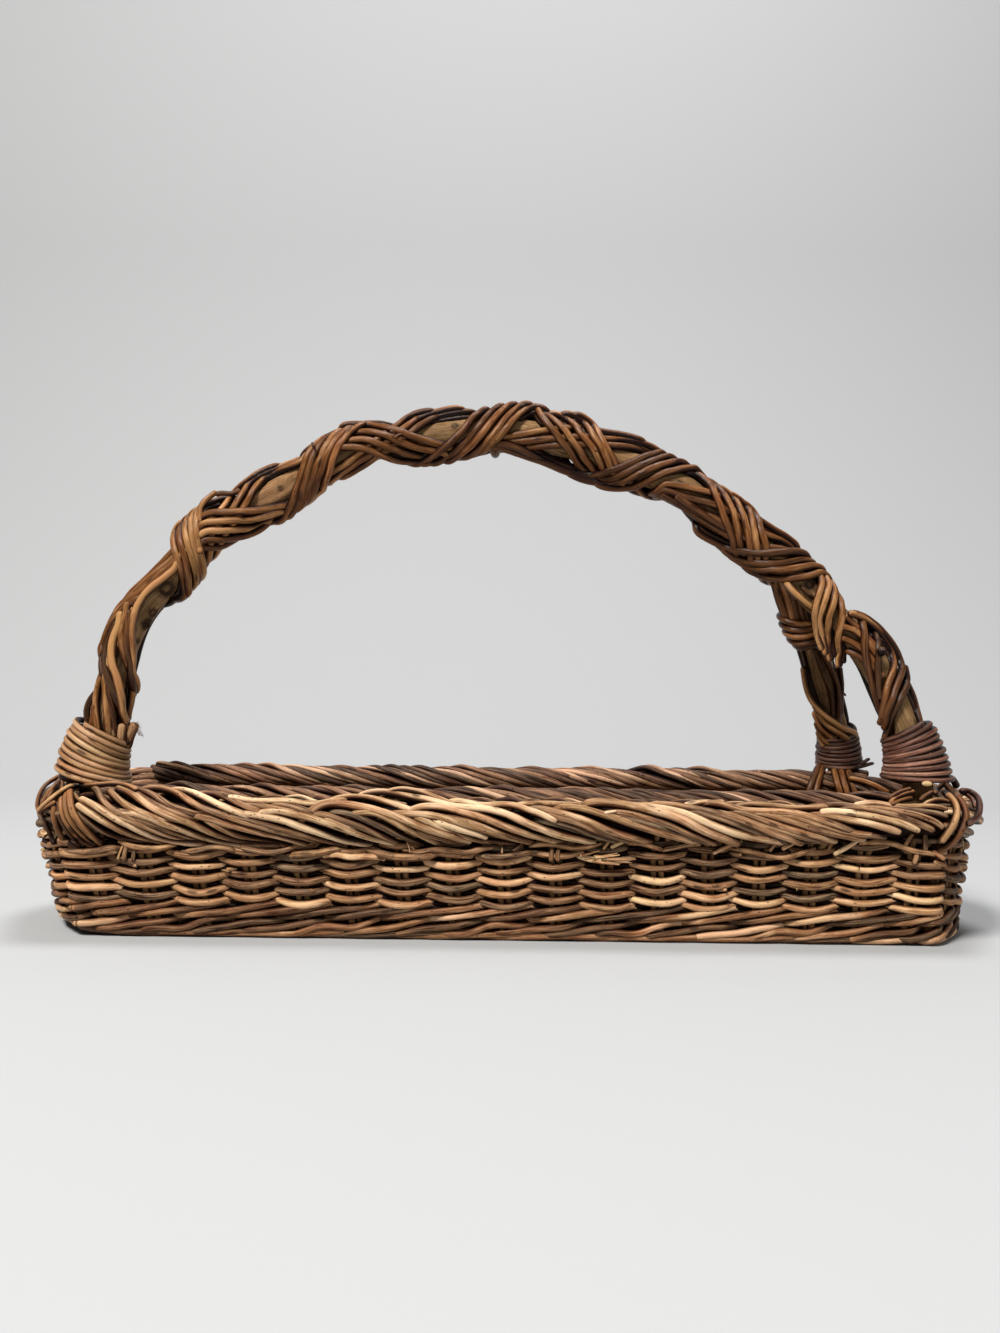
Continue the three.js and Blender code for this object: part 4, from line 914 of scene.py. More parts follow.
# the near side of the front's rope, rod by rod: points of the photograph, radius, tone, how far out it lies,
# and whether its two ends show (t) or go in under the next rods (u)
NEAR = [
    ([(79, 813.5), (87, 820), (95, 825.5), (103, 829.5), (113, 833.5), (125, 836.5), (139, 838)], 1.6, 0.30, -0.6, "uu"),
    ([(76, 803), (85, 808.5), (95, 814.5), (105, 820.5), (115, 825.5), (125, 830), (135, 833.5), (147, 836.5), (160, 839)], 2.0, 0.68, 0.0, "tu"),
    ([(79.5, 797.5), (88, 801), (100, 807.5), (110, 813.5), (120, 819), (130, 823.7), (140, 828.5), (150, 832.5), (160, 836), (175, 839), (198, 841.5)], 2.15, 0.84, 0.3, "tu"),
    ([(122, 816), (133, 820), (146, 825), (160, 830.5), (175, 835), (188, 838), (202, 841)], 1.8, 0.74, 0.0, "uu"),
    ([(138, 817.5), (158, 825), (173, 830.5), (187, 835), (202, 839)], 1.5, 0.55, 0.0, "uu"),
    ([(127, 811.5), (139, 813), (150, 816), (164, 822), (180, 827), (194, 832), (208, 836), (222, 840), (236, 842), (257, 842.5)], 2.15, 0.82, 0.4, "uu"),
    ([(169, 816), (180, 817.5), (188, 820.5), (201, 826), (215, 832), (229, 835.5), (243, 839), (264, 842), (280, 842)], 2.1, 0.56, 0.3, "uu"),
    ([(201, 815.5), (212, 817.5), (229, 823.5), (243, 826.7), (257, 830), (271, 833), (285, 836), (299, 840)], 1.9, 0.72, 0.3, "uu"),
    ([(209, 820), (219, 825), (229, 830), (243, 834.5), (257, 837), (272, 840), (283, 842.5)], 1.9, 0.66, 0.0, "uu"),
    ([(209, 810.5), (222, 813), (235, 818), (250, 822), (264, 826), (280, 830), (295, 833.5), (309, 837)], 1.8, 0.58, 0.3, "uu"),
    ([(239, 813), (250, 812.5), (262, 814.5), (273, 816.5), (284, 819), (295, 823), (307, 827), (317, 830), (331, 834.5), (345, 838.6), (358, 840.5)], 2.1, 0.9, 0.5, "uu"),
    ([(232, 815), (246, 818), (260, 822), (271, 824), (281, 827), (295, 830), (309, 834), (321, 837.5), (332, 840)], 1.8, 0.5, 0.0, "uu"),
    ([(258, 812), (268, 809.7), (281, 809.7), (294, 812.5), (306, 815), (320, 819), (333, 823), (345, 827), (359, 832), (373, 836), (388, 839.5)], 2.2, 0.8, 0.6, "uu"),
    ([(327, 816.8), (339, 821.7), (350, 826.7), (361, 832), (373, 836.5), (387, 840)], 1.9, 0.78, 0.1, "uu"),
    ([(311, 813), (317, 812.4), (324, 813), (334, 816), (345, 820), (359, 824.5), (370, 829), (380, 833), (391, 838)], 1.8, 0.5, 0.4, "uu"),
    ([(311, 810), (319, 804.6), (330, 802), (345, 803), (356, 805), (366, 806.5), (380, 810), (394, 814.5), (408, 820), (419, 824.5), (429, 827.5), (441, 831), (455, 835)], 2.35, 0.72, 1.2, "uu"),
    ([(340, 811), (352, 813), (362, 817), (373, 822), (384, 826.5), (394, 831), (403, 835), (412, 838.5)], 1.7, 0.22, 0.1, "uu"),
    ([(357, 812), (367, 810.5), (380, 813), (391, 818.5), (401, 824), (412, 829.5), (422, 834), (432, 838)], 2.0, 0.62, 0.6, "uu"),
    ([(330, 800), (340, 796.5), (352, 795.5), (366, 796), (380, 799), (394, 803), (405, 807), (413, 809.5)], 1.9, 0.76, 1.4, "uu"),
    ([(363, 793.5), (373, 791), (387, 791.5), (401, 794), (412, 796.3), (422, 797.5), (436, 801), (450, 804.5), (460, 806), (471, 806.5), (481, 807), (495, 809.4), (508, 813), (520, 818.5), (533, 824), (545, 828.5), (553, 831.5), (566, 835), (580, 837.5)], 2.15, 0.9, 1.5, "uu"),
    ([(409, 810), (418, 806), (432, 805), (446, 806.5), (458, 809.5), (471, 813), (485, 817), (497, 821.5), (508, 825.7), (521, 830), (533, 833.5), (548, 837)], 2.1, 0.8, 0.8, "tu"),
    ([(391, 813), (401, 812), (415, 812.5), (429, 813.5), (443, 816.5), (457, 820.5), (470, 824), (485, 828), (497, 832), (509, 835.5), (524, 838.5)], 2.1, 0.66, 0.4, "uu"),
    ([(419, 817), (429, 820.5), (441, 826), (450, 830), (464, 834.5), (480, 838)], 1.9, 0.6, 0.1, "uu"),
    ([(436, 814), (448, 816), (460, 818), (474, 821.5), (486, 825.7), (497, 829.5), (510, 833.5), (526, 837.5)], 1.7, 0.55, 0.0, "uu"),
    ([(441, 821.5), (455, 826), (467, 829.5), (478, 832), (488, 836)], 2.0, 0.94, 0.5, "ut"),
    ([(415, 829.5), (429, 833.5), (443, 836.5), (458, 839.5)], 1.8, 0.55, 0.0, "uu"),
    ([(457, 832), (474, 836.5), (488, 838.5), (504, 840)], 1.7, 0.5, -0.3, "uu"),
    ([(456, 799.5), (472, 802.5), (485, 804.6), (492, 803.4), (502, 803), (516, 804.2), (528, 808.6), (539, 811.6), (548, 815.8), (557, 820)], 1.9, 0.84, 1.5, "ut"),
    ([(516, 804), (530, 802.7), (545, 802.5), (560, 803.2), (575, 804), (589, 803.6)], 1.9, 0.7, 1.3, "uu"),
    ([(534, 807), (545, 808.5), (559, 811.6), (573, 815), (584, 818.7), (595, 823), (608, 828.5), (622, 833), (637, 836.5)], 2.15, 0.6, 0.6, "uu"),
    ([(545, 813), (558, 816.5), (573, 820), (584, 824), (596, 829), (610, 833.5), (622, 837)], 1.9, 0.52, 0.2, "uu"),
    ([(548, 821), (557, 822.5), (570, 826), (583, 830), (594, 833.5), (608, 837)], 1.8, 0.1, -0.2, "uu"),
    ([(559, 805.5), (573, 806), (587, 808.5), (601, 812.5), (615, 816.5), (629, 821.5), (643, 825.7), (657, 830), (671, 834), (684, 837)], 2.1, 0.6, 0.8, "uu"),
    ([(585, 802.5), (593, 801), (604, 801.4), (615, 802.4), (629, 804.4), (643, 807), (657, 810.5), (669, 813.5), (682, 818), (692, 823), (702, 828), (714, 833), (726, 837)], 2.55, 0.7, 1.9, "tu"),
    ([(603, 812), (610, 810.2), (618, 809.6)], 0.9, 0.9, 2.6, "tt"),
    ([(617, 811), (629, 812.5), (643, 816), (657, 820), (669, 824), (681, 829), (692, 833), (703, 837)], 1.9, 0.55, 0.4, "uu"),
    ([(618, 815), (628, 817), (643, 820.7), (657, 824.5), (671, 829), (684, 833), (698, 837.5)], 1.7, 0.3, 0.1, "uu"),
    ([(643, 804.2), (657, 807), (669, 808.6), (682, 811.6), (694, 816), (706, 821), (719, 826), (731, 830.2), (745, 834), (759, 836.6), (770, 838)], 2.25, 0.86, 1.3, "uu"),
    ([(655, 803), (671, 804), (688, 806.5), (702, 809), (716, 812), (729, 815.6), (744, 820), (756, 824.5), (766, 829), (778, 833), (790, 837)], 2.1, 0.56, 0.9, "uu"),
    ([(684, 804.5), (692, 802.4), (702, 801), (710, 801.2)], 1.7, 0.86, 1.6, "tu"),
    ([(704, 802), (716, 802.4), (728, 805), (739, 808.4), (752, 810), (766, 810.2), (780, 810.6), (794, 812), (808, 815), (822, 819.5), (836, 824), (846, 827.5)], 2.1, 0.62, 1.2, "uu"),
    ([(695, 811), (708, 814.6), (720, 817.6), (733, 822), (744, 826), (752, 829), (762, 833), (776, 837)], 1.8, 0.24, 0.2, "uu"),
    ([(720, 811.6), (731, 814.4), (745, 818.7), (759, 823.5), (773, 828), (787, 831.5), (801, 835), (816, 838)], 1.9, 0.55, 0.3, "uu"),
    ([(739, 811), (752, 815), (766, 819.5), (780, 824.5), (794, 828.5), (808, 832), (824, 836)], 1.9, 0.6, 0.3, "uu"),
    ([(750, 811), (764, 812.5), (780, 816.8), (794, 821), (808, 825.7), (822, 829.4), (836, 833), (852, 835.5)], 1.9, 0.66, 0.4, "uu"),
    ([(770, 811.6), (784, 813.6), (801, 817.5), (815, 822), (829, 826), (843, 829.5), (858, 832), (868, 833)], 1.9, 0.7, 0.4, "uu"),
    ([(740, 804), (752, 803), (766, 804), (780, 805.4), (794, 806.8), (808, 806.4), (820, 806)], 1.8, 0.5, 1.3, "uu"),
    ([(820, 811.4), (832, 810), (843, 811), (857, 812.4)], 2.1, 0.95, 1.6, "tt"),
    ([(857, 812.5), (871, 815), (881, 817), (892, 819.4), (902, 822), (912, 826), (920, 829.6)], 2.0, 0.78, 0.9, "ut"),
    ([(822, 813.5), (836, 816), (850, 819), (861, 820.4), (871, 822.4), (881, 825), (892, 828), (901, 831)], 2.05, 0.68, 0.5, "ut"),
    ([(828, 824), (840, 827.5), (851, 830.4), (861, 832.6), (873, 834)], 1.8, 0.5, 0.0, "uu"),
    ([(846, 806), (861, 807.6), (871, 808.6), (881, 810.8), (892, 813.4), (902, 816.4), (912, 820), (922, 824), (931, 827), (934.4, 829.4)], 1.95, 0.48, 0.5, "ut"),
    ([(866, 807.4), (880, 807.6), (892, 809.4), (902, 811), (912, 813), (922, 815.4), (932, 819), (940, 823), (943.6, 827)], 1.9, 0.58, 0.7, "ut"),
    ([(890, 806.4), (906, 808), (917, 809.4), (932, 811.4), (942, 813.4), (948, 815.6)], 1.75, 0.36, 0.6, "ut"),
    ([(890, 804.8), (905, 805.6), (916, 805.8), (927, 805), (938, 806), (948, 808.6)], 1.75, 0.52, 0.9, "ut"),
    ([(922, 804), (932, 799.6), (940, 798), (948, 801)], 1.6, 0.66, 1.0, "uu"),
    ([(828, 803.6), (840, 803.6), (851, 804.8), (861, 806.6), (871, 807)], 1.8, 0.52, 1.3, "uu"),
    ([(854, 805), (864, 802.6), (874, 802.2), (882, 803.2), (890, 805)], 2.0, 0.84, 1.8, "tu"),
    # the ones that lie on top at the left
    ([(98, 789), (101, 797), (108, 805), (119, 811.6), (127, 815)], 1.9, 0.5, 0.6, "uu"),
    ([(108.5, 789), (116, 796), (124, 802.5), (133, 807.6), (145, 812.5), (158, 817)], 1.95, 0.68, 0.9, "tu"),
    ([(116, 787), (126, 790), (135, 795), (145, 802), (156, 808.6), (168, 813.6), (180, 817.6)], 2.1, 0.62, 1.2, "tu"),
    ([(131, 790), (139, 793.5), (147, 799), (159, 805), (170, 809.6), (182, 813)], 1.8, 0.42, 1.0, "uu"),
    ([(133, 787.6), (145, 790.2), (156, 795.4), (164, 801), (174, 806), (187, 810)], 1.9, 0.5, 1.3, "uu"),
    ([(142, 788.6), (152, 786.8), (162, 787.6), (173, 790), (180, 793.5), (188, 799), (198, 804.6), (209, 809), (220, 812.6)], 1.95, 0.6, 1.6, "uu"),
    ([(168, 790), (176, 788.8), (184, 789), (194, 792), (205, 796.6), (215, 801.6), (229, 807.6), (241, 812)], 2.0, 0.88, 2.0, "uu"),
    ([(201, 792.4), (212, 791.8), (222, 794.4), (232, 799), (243, 804), (257, 809)], 1.9, 0.58, 1.8, "uu"),
    ([(233, 796), (243, 798.6), (257, 800), (275, 799.8), (290, 799.8), (305, 802.2), (318, 802.8), (330, 800.6)], 1.9, 0.82, 1.8, "uu"),
    ([(247, 803.4), (264, 805), (280, 807.8), (292, 810)], 1.8, 0.52, 1.4, "uu"),
    ([(276, 802.5), (288, 804), (300, 807.5), (312, 811)], 1.8, 0.6, 1.5, "uu"),
    ([(391, 789.6), (401, 787.8), (412, 789), (422, 791.6), (432, 795), (443, 799), (453, 803)], 1.8, 0.68, 2.0, "uu"),
    ([(425, 791), (436, 792.4), (448, 795.8), (460, 799), (474, 801.8), (486, 803.4)], 1.7, 0.5, 1.8, "uu"),
]
_fS = np.arange(-3.0, CORNER_S[1] + 4.0, 1.0)
_fP, _fN = rim(_fS)


def near_side(px, py, R):
    """Where the sight line through a point of the photograph meets a sleeve of radius R round the rope, or passes it closest."""
    best = None
    for y in np.arange(-78.0, -34.0, 0.5):
        q = seen(px, py, y)
        i = int(np.argmin(np.sum((_fP - q) ** 2, axis=1)))
        d = math.sqrt(float(np.sum((_fP[i] - q) ** 2)))
        if best is None or d < best[0]:
            best = (d, q, i)
        if d < R:
            return q, i
    return best[1], best[2]


for k, (points, rad, tone, out_, ends_) in enumerate(NEAR):
    dense = spline(np.asarray(points, float), 5.0)
    q, at_ = [], []
    for px, py in dense:
        a, i = near_side(px, py, 9.7 + 0.75 * out_)
        q.append(a); at_.append(i)
    deep_ = gsmooth(np.array(q)[:, 1], 2.4)
    q = gsmooth(np.array([seen(px, py, y) for (px, py), y in zip(dense, deep_)]), 0.6)
    near = _fP[at_]
    radial = q - near
    radial[:, 0] = 0
    radial = unit(radial)
    if ends_[0] == "u":        # it comes out from under the rods on the crest
        step_ = unit((q[0] - q[2])[None])[0]
        lead = [q[0] + step_ * 3.0 - radial[0] * 1.2, q[0] + step_ * 7.0 - radial[0] * 4.0]
        q = np.vstack([lead[::-1], q])
        radial = np.vstack([radial[0], radial[0], radial])
    if ends_[1] == "u":        # it tucks in below
        step_ = unit((q[-1] - q[-3])[None])[0]
        tail = [q[-1] + step_ * 3.5 + np.array([0, 1.4, -0.4]), q[-1] + step_ * 8.0 + np.array([0, 4.6, -0.6])]
        q = np.vstack([q, tail])
        radial = np.vstack([radial, radial[-1], radial[-1]])
    p = spline(q, 2.0)
    s_old = np.concatenate([[0], np.cumsum(np.linalg.norm(np.diff(q, axis=0), axis=1))])
    s_new = np.concatenate([[0], np.cumsum(np.linalg.norm(np.diff(p, axis=0), axis=1))])
    ref = unit(np.stack([np.interp(s_new / s_new[-1] * s_old[-1], s_old, radial[:, m]) for m in range(3)], 1))
    rn = rng_of(3700 + k)
    rr = 0.94 * rad * (1 + 0.0 * p[:, 0])
    if ends_[1] == "t":
        rr = rr * (1 - 0.12 * smoothstep(s_new, s_new[-1] - 5.0, s_new[-1]))
    borders["front"].add(gsmooth(p, 1.0), rr, ref, tone - 0.07 + wander(rn, p[:, 0], 70, 0.12), 3700 + k, sides=12, ends=("round", "round"), rough=0.06)

inner = {"front": Rods(), "back": Rods()}
rb = rng_of(37)
for side in ("front", "back"):
    a, b = SPAN[side]
    a += 24; b -= 30 if side == "front" else 34
    count = 64
    for k in range(count):
        pitch = 92 * rb.uniform(0.85, 1.18)
        start, stop = math.radians(rb.uniform(195, 225) + (50 if side == "back" else 0)), math.radians(rb.uniform(-95, -55))
        length = (start - stop) / (2 * math.pi) * pitch
        S0 = a - 62 + (b - a + 60) * (k + rb.uniform(-0.3, 0.3)) / count
        S = np.linspace(S0, S0 + length, 40)
        psi = start + (stop - start) * np.linspace(0, 1, 40)
        ok = (S > a - 14) & (S < b + 14)
        if ok.sum() < 8:
            continue
        S, psi = S[ok], psi[ok]
        f = np.linspace(0, 1, len(S))
        rad = (1.95 - 0.35 * f) * rb.uniform(0.88, 1.12)
        hump = rb.uniform(0.0, 2.1) if rb.random() < 0.5 else 0.0
        rc_ = 4.1 + hump * np.exp(-((psi - 1.5) / 0.55) ** 2) + wander(rb, S, 60, 0.3)
        c, n = rim(S, out=INNER_ROPE_OUT - ROPE_OUT, up=INNER_ROPE_Z - ROPE_Z)
        radial = n * np.cos(psi)[:, None] + np.array([0, 0, 1.0]) * np.sin(psi)[:, None]
        tone = np.clip(rb.normal(0.37, 0.33), 0.0, 1.0)
        inner[side].add(c + radial * rc_[:, None], rad, radial, tone, 3400 + 100 * (side == "back") + k, sides=10, ends=("round", "round"), rough=0.05)
    S = np.linspace(a - 6, b + 6, 90)
    c, n = rim(S, out=INNER_ROPE_OUT - ROPE_OUT, up=INNER_ROPE_Z - ROPE_Z)
    inner[side].add(c, 3.2, n, 0.42, 3600, sides=10, ends=("round", "round"), wear=0.8)
# the back rope takes the darker inner bark, painted shade as well
for side in ORDER:
    keep(borders[side].build(NODE[side] + "_border_rods", INNER if side == "back" else BORDER), NODE[side] + "_border", slot="border_rods")
for side in ("front", "back"):
    keep(inner[side].build(side + "_inner_border_rods", INNER), side + "_inner_border", slot="border_rods")

# ------------------------------------------------------------------ base mat
rods = Rods()
rbm = rng_of(51)
STICKS = (-28.0, -14.0, 0.0, 14.0, 28.0)
x0, x1 = -226.0, 236.0
count = int((x1 - x0) / 3.3)
for i in range(count):
    x = x0 + (x1 - x0) * (i + 0.5) / count
    # how far the mat reaches at this x
    reach = 35.8
    for y_try in np.arange(35.8, 4, -1.0):
        S_r = outline("right", (y_try + 42) / 84, 0.0)[0] - 6.5
        S_l = outline("left", (42 - y_try) / 84, 0.0)[0] + 6.5
        if S_l < x < S_r:
            reach = y_try
            break
    else:
        continue
    y = np.linspace(-reach, reach, 30)
    ph = np.interp(y, (-42, *STICKS, 42), (-1, 0, 1, 2, 3, 4, 5))
    z = 4.75 + 2.85 * np.cos(math.pi * (ph + i)) + 0.15 * rbm.normal()
    p = np.stack([x + 0.35 * np.sin(y / 9 + i), y, z], 1)
    rods.add(warp(p), 1.5 * rbm.uniform(0.9, 1.08), (0, 0, 1), rbm.uniform(0.25, 0.8), 4000 + i, sides=8, ends=("round", "round"))
keep(rods.build("base_mat_weave", WEAVE), "base_weave", slot="base_rods")
for i, y in enumerate(STICKS):
    lo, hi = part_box(f"base_stick_{i + 1}")
    rods = Rods()
    x = np.linspace(lo.x * 1000 + 2.5, hi.x * 1000 + 2.5, 90)
    p = np.stack([x, y + 0.3 * np.sin(x / 31 + i), 4.75 + 0 * x], 1)
    rods.add(warp(p), 2.05 + 0.08 * np.sin(x / 23.0 + 2 * i), (0, 0, 1), 0.5 + 0.08 * i, 4300 + i, sides=10, ends=("flat", "flat"))
    keep(rods.build(f"base_stick_{i + 1}_rod", STAKE), f"base_stick_{i + 1}", slot="base_rods")

# ------------------------------------------------------------------ handle
class Bar:
    """A curve with the directions across it, for what is wound round it."""

    def __init__(self, line, step=1.5, level=(0, 1, 0), flip=1.0):
        self.p = spline(line, step)
        self.t = unit(np.gradient(self.p, axis=0))
        self.t = unit(gsmooth(self.t, 3))
        lv = np.broadcast_to(np.asarray(level, float), self.p.shape)
        self.back = unit(lv - self.t * np.sum(lv * self.t, 1, keepdims=True))
        self.out = unit(np.cross(self.t, self.back)) * flip
        self.s = np.concatenate([[0], np.cumsum(np.linalg.norm(np.diff(self.p, axis=0), axis=1))])
        self.length = self.s[-1]

    def at(self, s, table):
        return np.stack([np.interp(s, self.s, table[:, i]) for i in range(3)], -1)

    def radial(self, s, psi):
        """psi is 0 at the front and a quarter turn at the outer (upper) side."""
        back, out = self.at(s, self.back), self.at(s, self.out)
        return unit(-back * np.cos(psi)[:, None] + out * np.sin(psi)[:, None])

    def near(self, x, z, low=0.0, high=1e9):
        d = (self.p[:, 0] - x) ** 2 + (self.p[:, 2] - z) ** 2
        d[(self.s < low) | (self.s > high)] = 1e12
        return self.s[int(np.argmin(d))]


bow = Bar(BOW_LINE)
if bow.at(np.array([bow.length / 2]), bow.out)[0, 2] < 0:
    bow.out = -bow.out
leg = Bar(INNER_LINE, level=(0.35, 0.85, 0.35))
# outer side of the inner leg: the one that looks to the right
if leg.at(np.array([leg.length / 2]), leg.out)[0, 0] < 0:
    leg.out = -leg.out


def on_bow(px, py):
    q = seen(px, py, -8.0)
    return bow.near(q[0], q[2], 60.0, bow.length - 60.0)


class Cover:
    """The height of what is already wound round a bar, so that the next rod lies on it."""

    def __init__(self, bar, core):
        self.bar = bar
        self.ds = 1.5
        self.n = int(bar.length / self.ds) + 2
        self.m = 96
        self.h = np.full((self.n, self.m), float(core))

    def need(self, si, psi, rad):
        out = np.zeros(len(si))
        for i in range(len(si)):
            half = 0.5 * rad[i] / 10.0
            k = np.arange(int(math.floor((psi[i] - half) / (2 * math.pi) * self.m)), int(math.ceil((psi[i] + half) / (2 * math.pi) * self.m)) + 1) % self.m
            out[i] = self.h[si[i], k].max()
        return out

    def lay(self, s, psi, rad, tight=1.0, lift=0.0, cap=99.0, soft=3.0):
        """The distance from the bar's middle at which a rod of radius rad lies along (s, psi)."""
        si = np.clip((s / self.ds).round().astype(int), 0, self.n - 1)
        r = np.minimum(self.need(si, psi, rad) + rad * tight, cap) + lift
        grown = np.array([r[max(0, i - 1):i + 2].max() for i in range(len(r))])
        return np.maximum(gsmooth(grown, soft), r - 0.5), si

    def press(self, si, psi, r, rad):
        for i in range(len(si)):
            half = rad[i] / r[i]
            lo, hi = int(math.floor((psi[i] - half) / (2 * math.pi) * self.m)), int(math.ceil((psi[i] + half) / (2 * math.pi) * self.m))
            k = np.arange(lo, hi + 1)
            d = (k * 2 * math.pi / self.m - psi[i]) * r[i]
            top = r[i] + np.sqrt(np.clip(rad[i] ** 2 - d ** 2, 0, None))
            kk = k % self.m
            ok = np.abs(d) <= rad[i]
            for row in range(max(0, si[i] - 1), min(self.n, si[i] + 2)):
                self.h[row, kk[ok]] = np.maximum(self.h[row, kk[ok]], top[ok])


def wind(rods, cover, s, psi, rad, tone, seed, ends=("round", "round"), lift=0.0, tight=1.0, cap=99.0, soft=3.0, sides=10, press=True, wear=None, lateral=None, slant=(0.6, 0.6), mark=None):
    """A rod wound round a bar along (s, psi). lateral, where given, holds its distance across the bar as seen from the front."""
    bar = cover.bar
    s, psi = np.asarray(s, float), np.asarray(psi, float)
    rad = np.broadcast_to(np.asarray(rad, float), s.shape).copy()
    for _ in range(3 if lateral is not None else 1):
        r, si = cover.lay(s, psi, rad, tight, lift, cap, soft)
        if lateral is None:
            break
        known = ~np.isnan(lateral)
        want = np.where(known, np.abs(np.nan_to_num(lateral)) * 1.015, 0.0)
        r = np.maximum(r, gsmooth(np.where(want > r, want, r), 1.5))
        base = np.round(psi[known] / (2 * math.pi)) * 2 * math.pi
        psi = psi.copy()
        psi[known] = base + np.arcsin(np.clip(lateral[known] / r[known], -0.985, 0.985))
        psi = gsmooth(psi, 1.0)
    radial = bar.radial(s, psi)
    p = bar.at(s, bar.p) + radial * r[:, None]
    rods.add(gsmooth(p, 0.8), rad, radial, tone, seed, sides=sides, ends=ends, rough=0.035, wear=wear, slant=slant, mark=mark)
    if lateral is not None:
        # what stands off the rods below is packed with a rod painted dark as shade
        bed, _ = cover.lay(s, psi, rad, tight, lift, cap, soft)
        off = gsmooth((r - bed > 0.9).astype(float), 1.0) > 0.3
        e = np.flatnonzero(np.diff(np.concatenate([[0], off.astype(int), [0]])))
        for j, (lo_, hi_) in enumerate(e.reshape(-1, 2)):
            lo_, hi_ = max(0, lo_ - 2), min(len(s), hi_ + 2)
            if hi_ - lo_ < 5:
                continue
            q = bar.at(s[lo_:hi_], bar.p) + radial[lo_:hi_] * np.maximum(r[lo_:hi_] - 3.0, 8.0)[:, None]
            rods.add(gsmooth(q, 1.0), 1.9, radial[lo_:hi_], 0.12, seed + 4000 + j, sides=8, ends=("round", "round"))
    if press:
        cover.press(si, psi, r, rad)
    return p


def on_front(bar, points, r=11.0, low=0.0, high=1e9, step=3.0):
    """Points of the photograph on the near side of a bar, as places along it and distances across it."""
    pts = spline(np.asarray(points, float), step) if len(points) > 2 else even(np.asarray(points, float), step)
    s_out, d_out = [], []
    guess = None
    for px, py in pts:
        y = -8.0 if bar is bow else 20.0
        for _ in range(3):
            q = seen(px, py, y)
            dist = (bar.p[:, 0] - q[0]) ** 2 + (bar.p[:, 2] - q[2]) ** 2
            dist = np.where((bar.s < low) | (bar.s > high), 1e12, dist)
            if guess is not None:
                dist = dist + 0.02 * (bar.s - guess) ** 2
            i = int(np.argmin(dist))
            d = float(np.dot((q - bar.p[i]) * np.array([1, 0, 1]), bar.out[i]) / max(1e-6, math.hypot(bar.out[i][0], bar.out[i][2])))
            y = bar.p[i][1] - math.sqrt(max(r * r - d * d, 0.04 * r * r))
        guess = bar.s[i]
        s_out.append(bar.s[i]); d_out.append(d)
    return gsmooth(np.array(s_out), 1.0), np.array(d_out)


def strand(rods, cover, passes, hand, rad, tone, seed, r=11.0, lead=None, tail=None, **kw):
    """A rod that crosses the near side along each pass and goes round the far side between them.
    hand +1 goes from the under side to the upper side as it moves along the bar, -1 the other way."""
    bar = cover.bar
    S, P, D = [], [], []
    turn = 0
    for points in passes:
        s, d = on_front(bar, points, r)
        psi = np.arcsin(np.clip(d / r, -0.97, 0.97)) + 2 * math.pi * turn * hand
        if S:
            s0, p0 = S[-1], P[-1]
            n = max(4, int((abs(s[0] - s0) + abs(psi[0] - p0) * r) / 2.4))
            f = np.linspace(0, 1, n + 2)[1:-1]
            S += list(s0 + (s[0] - s0) * f); P += list(p0 + (psi[0] - p0) * f); D += [np.nan] * n
        S += list(s); P += list(psi); D += list(d)
        turn += 1
    if lead is not None:       # (mm along the bar, turn) before the first pass
        n = max(4, int((abs(lead[0]) + abs(lead[1]) * r) / 2.4))
        f = np.linspace(0, 1, n + 1)[:-1]
        S = list(S[0] - lead[0] * (1 - f)) + S
        P = list(P[0] - lead[1] * (1 - f) * hand) + P
        D = [np.nan] * n + D
    if tail is not None:
        n = max(4, int((abs(tail[0]) + abs(tail[1]) * r) / 2.4))
        f = np.linspace(0, 1, n + 1)[1:]
        s1, p1 = S[-1], P[-1]
        S += list(s1 + tail[0] * f); P += list(p1 + tail[1] * f * hand); D += [np.nan] * n
    S, P, D = np.clip(np.array(S), 2.0, bar.length - 2.0), np.array(P), np.array(D)
    if np.ndim(tone):
        tone = np.interp(np.linspace(0, 1, len(S)), np.linspace(0, 1, len(tone)), tone)
    wind(rods, cover, S, P, rad, tone + wander(rng_of(seed), S, 90, 0.10), seed, lateral=D, **kw)


